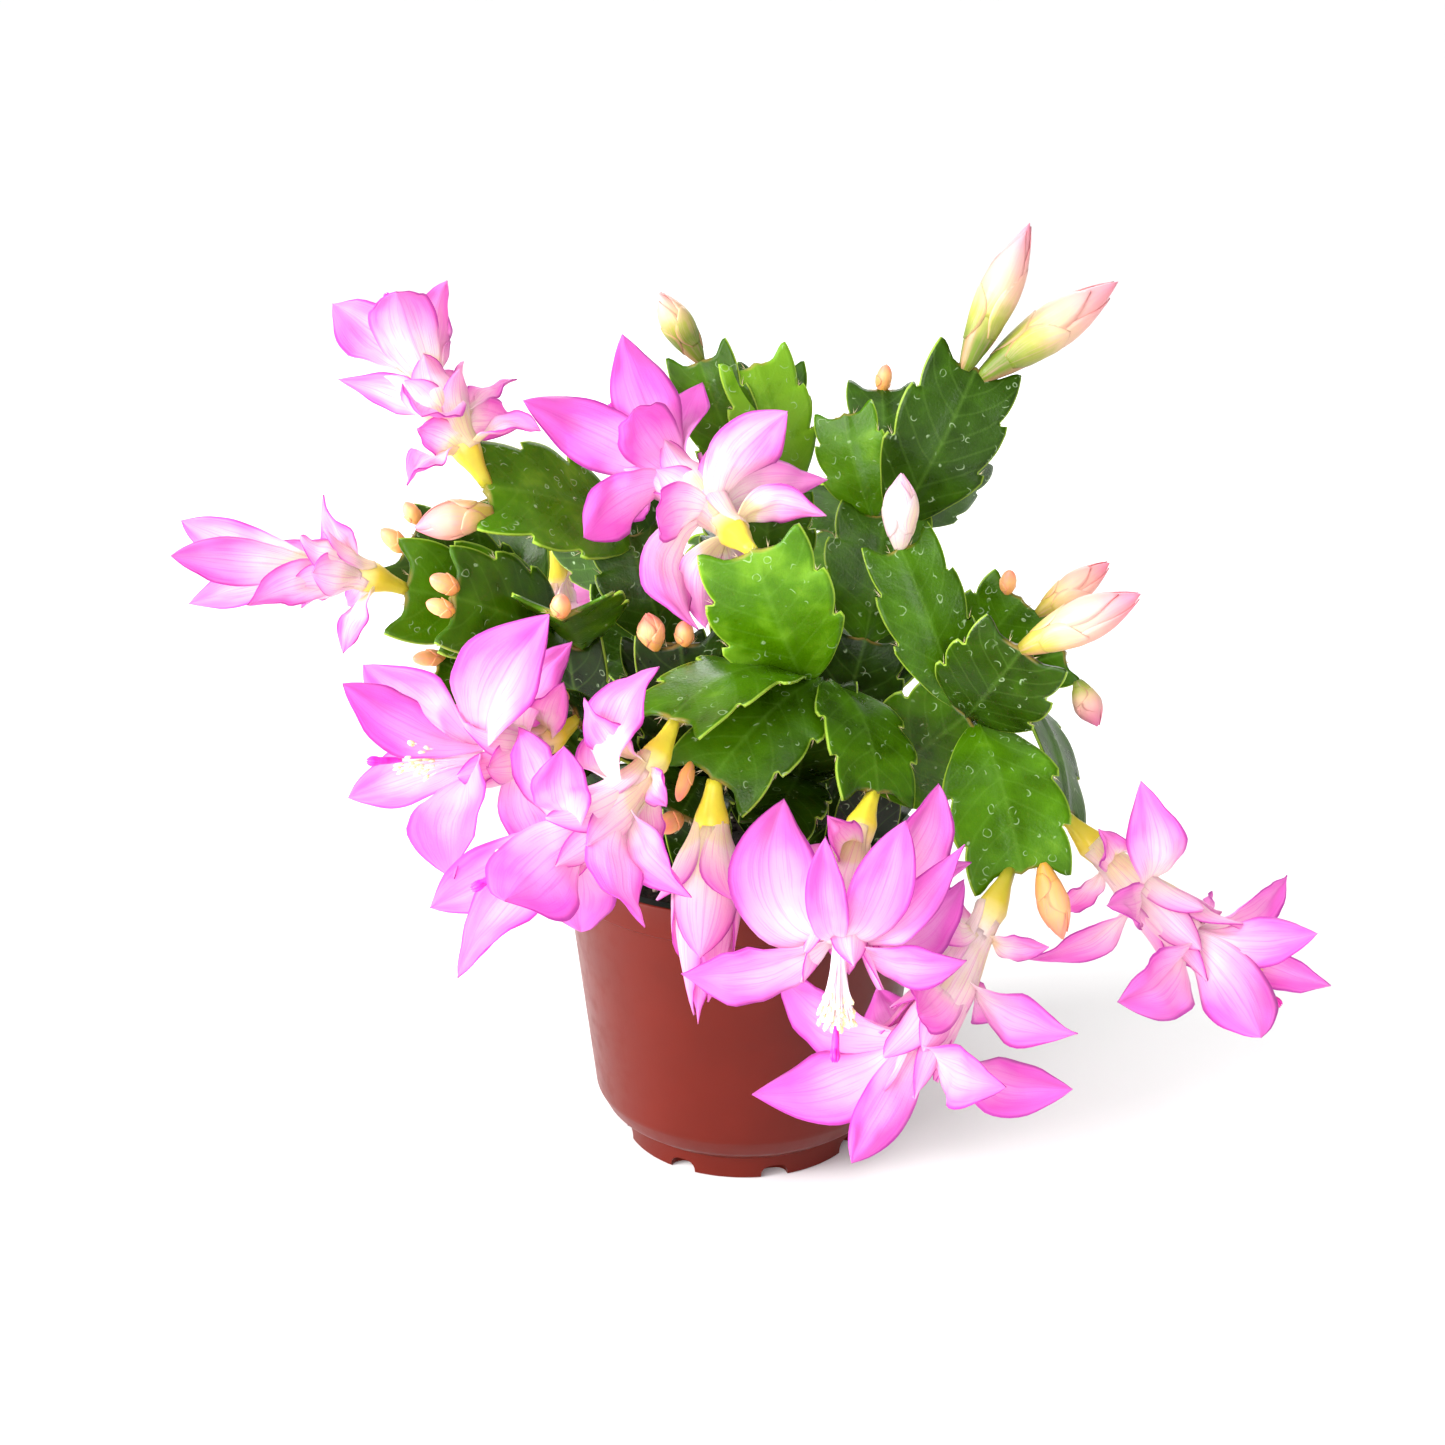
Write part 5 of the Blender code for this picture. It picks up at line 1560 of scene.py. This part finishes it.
def petal_place(table, line, petal, light, draw):
    """A function from a blank petal's point to its place along its line."""
    _, _, length, width = petal
    lean = lean_angle(light, *line[PETAL_PATH_STEPS // 2][1:])
    drawn = [draw.uniform(*least_most) for least_most in PETAL_RANGES.values()]
    phase, pace, curl, sweep, depth, crease, skew, twist, taper = drawn

    def half_width(column, share):
        reach = max(0.0, follow(table, share)) * width / 2
        reach = max(reach, PETAL_ROOT_WIDTH / 2 * (1 - 4 * share))
        reach *= 1 + skew * math.copysign(min(1.0, 3 * share), column)
        return reach * (1 - taper * smooth_step((share - 0.5) / 0.45))

    def waves(column, share):
        """A frilled hem, a crumple and flutes, which fade at both ends."""
        ripple = math.sin(phase + pace * share + 1.5 * column)
        ripple += 0.35 * math.sin(2 * phase + 3.1 * pace * share - 2 * column)
        ripple *= PETAL_FRILL * abs(column) ** 2
        ripple += PETAL_CRUMPLE * noise.noise((1.5 * column, 5 * share, 9 * phase))
        ripple += PETAL_FLUTE * math.sin(3 * phase + 6.5 * column + 1.5 * share)
        return ripple * (min(1.0, 2.5 * share) * min(1.0, 5 * (1 - share)))

    def place(column, share, _):
        spot = min(share * PETAL_PATH_STEPS, PETAL_PATH_STEPS - 1e-6)
        k = int(spot)
        here = [along(a, b, spot - k) for a, b in zip(line[k], line[k + 1])]
        centre, heading, inward = here
        roll = lean * min(1.0, 2 * share) + twist * share**2
        turn = Matrix.Rotation(roll, 3, heading.normalized())
        inward = turn @ inward.normalized()
        across = heading.normalized().cross(inward)
        reach, out = half_width(column, share), abs(column)
        cup = reach * depth * along(out * out, out, crease)
        bend = -curl * length * max(0.0, share - 0.55) ** 2 * 2
        aside = reach * column + sweep * length * share**2
        return centre + across * aside + inward * (cup + waves(column, share) + bend)

    return place


def petal_wall(column, share, _):
    return PETAL_WALL - HEM_THINNING * abs(column) - TIP_THINNING * share


def tube_place(line, table, upward, ribs=0.0):
    """A function from a blank tube's point to its place round a curve."""

    def place(x, y, share):
        here, side, other = curve_frame(line, share, upward)
        turn = math.atan2(y, x)
        radius = max(0.02, follow(table, share)) * (1 + ribs * math.cos(5 * turn))
        return here + turned(side, other, turn) * radius

    return place


def wrap_place(line, table, top, wrap):
    """A function from a blank petal's point to its place, wrapped round a tube or bud.

    wrap is (turn, start, end, half angle, lift, flare, twist) along the line.
    """
    turn, start, end, wide, lift, flare, twist = wrap
    phase = 5 * turn

    def place(column, share, _):
        spot = along(start, end, share)
        here, side, other = curve_frame(line, spot, top)
        angle = turn + twist * share + column * wide * follow(WRAP_PETAL, share)
        spoke = turned(side, other, angle)
        skin = max(0.0, follow(table, spot))
        rise = 0.04 + 0.96 * smooth_step(share / 0.6)
        proud = lift * rise * (1 - 0.3 * abs(column)) + flare * max(0.0, share - 0.5) ** 2
        proud += 0.25 * lift * rise * math.sin(phase + 9 * share + 2 * column) * abs(column)
        return here + spoke * (skin + proud)

    return place


def lay_stamens(heart, mouth, aim, top, blanks, draw, count):
    """White filaments with cream anthers round a style that ends in a magenta stigma."""
    thread, head, lobe = blanks
    side = aim.cross(top)
    root = mouth - aim * COLUMN_ROOT
    for _ in range(count):
        spoke = turned(top, side, draw.uniform(0, 2 * math.pi))
        length = COLUMN_LENGTH * draw.uniform(*STAMEN_LENGTH)
        spread = draw.uniform(*STAMEN_SPREAD)
        start = root + spoke * draw.uniform(*STAMEN_BUNDLE)
        end = mouth + aim * length + spoke * spread
        bend = mouth + aim * length * 0.6 + spoke * STAMEN_BUNDLE[1]
        heart.lay(thread, tube_place((start, bend, end), FILAMENT, spoke))
        way = ((end - bend).normalized() + spoke * draw.uniform(*ANTHER_LEAN)).normalized()
        shape = way.to_track_quat("Z", "Y").to_matrix() @ Matrix.Diagonal(ANTHER_SIZE)
        heart.lay(head, laid(end, shape), kind=1)
    tip = mouth + aim * (COLUMN_LENGTH + STYLE_LENGTH)
    cut = along(root, tip, STYLE_PALE)
    heart.lay(thread, tube_place(straight(root, cut), STYLE, top))
    heart.lay(lobe, tube_place(straight(cut, tip), STIGMA, top), kind=2)
    for k in range(STIGMA_LOBES):
        spoke = turned(top, side, 2 * math.pi * k / STIGMA_LOBES)
        start = tip - aim * LOBE_ROOT
        end = tip + aim * LOBE_TIP + spoke * LOBE_SPREAD
        bend = along(start, end, 0.5) + spoke * LOBE_BELLY
        heart.lay(lobe, tube_place((start, bend, end), STIGMA_LOBE, spoke), kind=2)


def ovary_line(span):
    """The waist of a bloom's ovary, and its ovary and tube as (share of span, radius)."""
    waist = OVARY_LENGTH / span
    return waist, [
        (0.0, OVARY_FOOT_RADIUS),
        (waist * 0.4, OVARY_WAIST_RADIUS),
        (waist * 0.85, OVARY_RADIUS),
        (waist * 1.05, TUBE_RADIUS),
        (waist * 1.25, TUBE_RADIUS * 0.92),
        (max(0.9, waist * 1.4), MOUTH_RADIUS * 0.94),
        (1.0 if waist < 0.6 else 1.05, MOUTH_RADIUS * 0.8),
    ]


def lay_sleeve(heap, sheet, line, table, top, waist, draw):
    """Small petals that sheathe the floral tube, in rows of three."""
    for k in range(SLEEVE_PETALS):
        row = k % 3
        start = waist * draw.uniform(*SLEEVE_START) + SLEEVE_ROW * row
        end = max(along(*SLEEVE_END, k / SLEEVE_PETALS), start + SLEEVE_SHORTEST)
        turn = GOLDEN_TURN * k + draw.uniform(*SLEEVE_STRAY)
        lift = SLEEVE_LIFT[0] + SLEEVE_LIFT[1] * row
        wrap = (turn, start, end, SLEEVE_HALF_ANGLE, lift, SLEEVE_FLARE, SLEEVE_TWIST)
        place = wrap_place(line, table, top, wrap)
        heap.lay(sheet, place, draw.uniform(*SLEEVE_TINT), 0, petal_wall, SLEEVE_SPAN)


def open_blooms(looks):
    sheet = grid_blank("petal_blank", *PETAL_MESH)
    tube = tube_blank("tube_blank", *TUBE_MESH)
    thread = tube_blank("thread_blank", *THREAD_MESH)
    lobe = tube_blank("lobe_blank", *LOBE_MESH)
    head = crumb_blank("anther_blank")
    skins = [
        petal_skin(tuple(looks.edges)),
        ovary_skin(tuple(looks.ovary)),
        plain_flesh("white_filament", "#F8E2EC", "#FDF4F8", THREAD_CLOUD, 0.5, THREAD_GLOW),
        plain_flesh("pollen_anther", "#F8E4A0", "#FFF6CC", GRAIN_CLOUD, 0.8),
        plain_flesh("magenta_stigma", "#D9189F", "#F23CC4", STIGMA_CLOUD, 0.45),
    ]
    for number, (name, bloom) in enumerate(BLOOMS.items()):
        draw = random.Random(BLOOM_SEED + number)
        mouth, aim = Vector(bloom.mouth), Vector(bloom.aim).normalized()
        base = seat_on(bloom.stem, bloom.pad, bloom.shift)
        span = (mouth - base).length
        line = (base, mouth - aim * span * MOUTH_LEAD, mouth)
        top = square_to(Vector((0, 0, 1) if abs(aim.z) < STEEP else (0, -1, 0)), aim)
        light = Vector(LIGHT if mouth.y < 0 else BACK_LIGHT)
        waist, table = ovary_line(span)
        heap = Gathering()
        ovary = tube_place(line, table, top, OVARY_RIBS)
        tone = OLIVE_OVARIES.get(name, PLAIN_OVARY)
        heap.lay(tube, ovary, tone, 1, span=(0, span / TUBE_SCALE))
        lay_sleeve(heap, sheet, line, table, top, waist, draw)
        tints = BLOOM_TINTS.get(name, PLAIN_TINT)
        tiers = [
            (bloom.inner, INNER_START, BROAD_PETAL, tints[0]),
            (bloom.outer, OUTER_START, SLIM_PETAL, tints[1]),
            (bloom.sepals, SEPAL_START, SLIM_PETAL, SEPAL_TINT),
        ]
        for petals, start, shape, tint in tiers:
            origin = curve_point(*line, start)
            for petal in petals:
                spoke = Matrix.Rotation(math.radians(petal[0]), 3, aim) @ top
                root = origin + spoke * TUBE_RADIUS * ROOT_INSET - aim
                path = petal_line(root, aim, spoke, petal)
                place = petal_place(shape, path, petal, light, draw)
                tone = min(1.0, tint + draw.uniform(*TINT_RANGE))
                heap.lay(sheet, place, tone, 0, petal_wall)
        present(heap.finish(name + "_petals", skins[:2]), name)
        heart = Gathering()
        lay_stamens(heart, mouth, aim, top, (thread, head, lobe), draw, looks.stamens)
        present(heart.finish(name + "_stamens", skins[2:]))
    discard(sheet, tube, thread, lobe, head)


def bud_wraps(large, draw):
    """The furled petals of a bud, each one reaching further than the last."""
    wraps = []
    for k in range(BUD_WRAPS[large]):
        first, step = BUD_START
        start = first + step * k
        end = min(BUD_END, start + draw.uniform(*BUD_REACH) + step * k)
        turn = GOLDEN_TURN * k + draw.uniform(*BUD_STRAY)
        shape = (BUD_HALF_ANGLE, BUD_LIFT[large], BUD_FLARE, BUD_TWIST)
        wraps.append((turn, start, end, *shape))
    return wraps


def bud_wall(column, share, _):
    return BUD_WALL - BUD_HEM_THINNING * abs(column)


def lay_furled(heap, tube, sheet, line, top, name, draw):
    """A closed bud in its wraps."""
    girth = BUDS[name].girth
    large = girth > LARGE_BUD
    tone = BUD_TINTS.get(name, 0.0 if large else 1.0)
    profile = BUD_PROFILE if large else YOUNG_PROFILE
    table = [(share, half * girth * BUD_GIRTH) for share, half in profile]
    kind, reach = (2, WHITE_BUD_REACH) if name == WHITE_BUD else (0, 1.0)
    heap.lay(tube, tube_place(line, table, top), tone, kind, span=(0.0, reach))
    for wrap in bud_wraps(large, draw):
        place = wrap_place(line, table, top, wrap)
        span = (wrap[1] * reach, wrap[2] * reach)
        heap.lay(sheet, place, tone, kind, bud_wall, span)


def lay_opening(heap, tube, sheet, line, top):
    """The half open bud: its petals in a bell round its ovary."""
    end = along(line[0], line[2], BELL_CORE_END)
    core = tube_place(straight(line[0], end), BELL_CORE, top)
    heap.lay(tube, core, PLAIN_OVARY, 1, span=BELL_CORE_SPAN)
    for wrap, tint in OPENING_PETALS:
        place = wrap_place(line, OPENING_BELL, top, wrap)
        heap.lay(sheet, place, tint, 2, petal_wall, OPENING_SPAN)


def form_buds(looks):
    sheet = grid_blank("wrap_blank", *WRAP_MESH)
    tube = tube_blank("bud_blank", *BUD_MESH)
    grown = [bpy.data.materials[name] for name in ("waxy_ovary", "silky_petal")]
    skins = [bud_skin(tuple(looks.small)), *grown]
    for number, (name, bud) in enumerate(BUDS.items()):
        draw = random.Random(BUD_SEED + number)
        tip = Vector(bud.tip)
        base = seat_on(bud.stem, bud.pad, bud.shift)
        top = (tip - base).orthogonal().normalized()
        heap = Gathering()
        if name == HALF_OPEN_BUD:
            lay_opening(heap, tube, sheet, straight(base, tip), top)
        else:
            lay_furled(heap, tube, sheet, straight(base, tip), top, name, draw)
        present(heap.finish(name + "_skin", skins), name)
    discard(sheet, tube)


def hang_lamps(kind, lights, measure, brightness):
    """Lamps of a kind that look at the plant."""
    for name, place, size, power in lights:
        bpy.ops.object.light_add(type=kind, location=place)
        lamp = bpy.context.object
        lamp.name = name
        setattr(lamp.data, measure, size)
        lamp.data.energy = brightness * power
        way = Vector(LIT_SPOT) - lamp.location
        lamp.rotation_euler = way.to_track_quat("-Z", "Y").to_euler()


def lay_floor():
    floor = begin(bpy.ops.mesh.primitive_plane_add, "studio_floor", size=FLOOR_SIZE)
    paper = bpy.data.materials.new("studio_paper")
    paper.use_nodes = True
    shader = paper.node_tree.nodes["Principled BSDF"]
    matt = {"Base Color": make_hex("#E8E8E8"), "Roughness": 1.0, "Specular IOR Level": 0.0}
    feed(paper.node_tree, shader, matt)
    floor.data.materials.append(paper)
    floor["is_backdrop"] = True


def light_room(sky):
    """Surroundings that are white near the horizon and fade to the sky's strength."""
    world = bpy.data.worlds.new("studio_world")
    world.use_nodes = True
    tree = world.node_tree
    way = add(tree, "SeparateXYZ", [add(tree, "TexCoord").outputs["Generated"]])
    glow = add(tree, "MapRange", [way.outputs["Z"], *HORIZON_GLOW, 1.0, sky])
    feed(tree, tree.nodes["Background"], {"Color": make_hex("#FFFFFF"), "Strength": glow})
    bpy.context.scene.world = world


def set_stage(looks):
    lay_floor()
    light_room(looks.sky)
    suns = [(*light[:2], math.radians(light[2]), light[3]) for light in BROAD_LIGHTS]
    hang_lamps("SUN", suns, "angle", looks.sun)
    hang_lamps("AREA", STUDIO_LIGHTS, "size", 1.0)
    tilt = (math.radians(CAMERA_TILT), 0, 0)
    bpy.ops.object.camera_add(location=CAMERA_PLACE, rotation=tilt)
    camera = bpy.context.object
    camera.name = "studio_camera"
    camera.data.lens = looks.lens
    camera.data.sensor_width = SENSOR_WIDTH
    scene = bpy.context.scene
    scene.camera = camera
    scene.view_settings.view_transform = "Standard"
    scene.view_settings.look = "None"


def colour_property(name, description, text):
    limits = {"subtype": "COLOR", "size": 4, "min": 0, "max": 1}
    return FloatVectorProperty(
        name=name, description=description, default=make_hex(text), **limits
    )


class PotLooks(bpy.types.PropertyGroup):
    outside: colour_property("Outside", "Colour of the pot's outer wall", "#581306")
    inside: colour_property("Inside", "Colour of the pot's lip and inside", "#141416")


class SoilLooks(bpy.types.PropertyGroup):
    dark: colour_property("Dark", "Colour of the wet peat", "#0C0907")
    light: colour_property("Light", "Colour of the dry peat", "#2A1E15")
    crumbs: IntProperty(
        name="Crumbs", description="Number of loose crumbs", default=620, min=0, max=2000
    )


class PadLooks(bpy.types.PropertyGroup):
    rim: colour_property("Rim", "Colour along the edges of the pads", "#B6D84A")
    edge: FloatProperty(
        name="Edge",
        description="Thickness of a pad at its edge",
        default=0.55 * MM,
        min=0.2 * MM,
        max=1.2 * MM,
        unit="LENGTH",
    )


class BloomLooks(bpy.types.PropertyGroup):
    edges: colour_property("Edges", "Colour of the petals' edges and tips", "#F07CDC")
    ovary: colour_property("Ovary", "Colour of a bright ovary", "#F9E540")
    stamens: IntProperty(
        name="Stamens", description="Filaments in a bloom", default=76, min=4, max=99
    )


class BudLooks(bpy.types.PropertyGroup):
    small: colour_property("Small buds", "Colour of the small young buds", "#FFB768")


class StageLooks(bpy.types.PropertyGroup):
    sky: FloatProperty(
        name="Sky",
        description="Strength of the white surroundings",
        default=0.36,
        min=0,
        max=5,
    )
    sun: FloatProperty(
        name="Key light",
        description="Strength of the broad key light",
        default=3.2,
        min=0,
        max=9,
    )
    lens: FloatProperty(
        name="Lens",
        description="Focal length of the camera",
        default=61.2,
        min=20,
        max=200,
        unit="CAMERA",
    )


class ModelPot(bpy.types.Operator):
    """Turns, notches and colours the nursery pot"""

    bl_idname = "cactus.model_pot"
    bl_label = "Model Pot"

    def execute(self, context):
        model_pot(context.scene.cactus_pot)
        return {"FINISHED"}


class FillSoil(bpy.types.Operator):
    """Fills the pot with crumbly soil and perlite grains"""

    bl_idname = "cactus.fill_soil"
    bl_label = "Fill Soil"

    def execute(self, context):
        model_soil(context.scene.cactus_soil)
        return {"FINISHED"}


class GrowStems(bpy.types.Operator):
    """Grows the chains of toothed pads and their bristles"""

    bl_idname = "cactus.grow_stems"
    bl_label = "Grow Stems"

    def execute(self, context):
        grow_stems(context.scene.cactus_pads)
        return {"FINISHED"}


class OpenBlooms(bpy.types.Operator):
    """Opens the blooms, with their ovaries, petals, stamens and stigmas"""

    bl_idname = "cactus.open_blooms"
    bl_label = "Open Blooms"

    def execute(self, context):
        open_blooms(context.scene.cactus_blooms)
        return {"FINISHED"}


class FormBuds(bpy.types.Operator):
    """Forms the furled buds"""

    bl_idname = "cactus.form_buds"
    bl_label = "Form Buds"

    def execute(self, context):
        form_buds(context.scene.cactus_buds)
        return {"FINISHED"}


class SetStage(bpy.types.Operator):
    """Sets up the floor, the soft lights and the camera"""

    bl_idname = "cactus.set_stage"
    bl_label = "Set Stage"

    def execute(self, context):
        set_stage(context.scene.cactus_stage)
        return {"FINISHED"}


LOOKS = {
    "cactus_pot": PotLooks,
    "cactus_soil": SoilLooks,
    "cactus_pads": PadLooks,
    "cactus_blooms": BloomLooks,
    "cactus_buds": BudLooks,
    "cactus_stage": StageLooks,
}
STEPS = (ModelPot, FillSoil, GrowStems, OpenBlooms, FormBuds, SetStage)


class CactusPanel(bpy.types.Panel):
    """Lists the steps of the model, each with its looks"""

    bl_idname = "VIEW3D_PT_cactus"
    bl_label = "Thanksgiving Cactus"
    bl_space_type = "VIEW_3D"
    bl_region_type = "UI"
    bl_category = "Cactus"

    def draw(self, context):
        for step, (group, looks) in zip(STEPS, LOOKS.items()):
            box = self.layout.box()
            for name in looks.__annotations__:
                box.prop(getattr(context.scene, group), name)
            box.operator(step.bl_idname)


def register():
    for made in (*LOOKS.values(), *STEPS, CactusPanel):
        bpy.utils.register_class(made)
    for name, looks in LOOKS.items():
        setattr(bpy.types.Scene, name, PointerProperty(type=looks))


def unregister():
    for name in LOOKS:
        delattr(bpy.types.Scene, name)
    for made in (CactusPanel, *STEPS[::-1], *list(LOOKS.values())[::-1]):
        bpy.utils.unregister_class(made)


def main():
    register()
    bpy.ops.cactus.model_pot()
    bpy.ops.cactus.fill_soil()
    bpy.ops.cactus.grow_stems()
    bpy.ops.cactus.open_blooms()
    bpy.ops.cactus.form_buds()
    bpy.ops.cactus.set_stage()
    boxes = [[list(corner) for corner in box] for box in (CAD_BOX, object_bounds())]


if __name__ == "__main__":
    main()
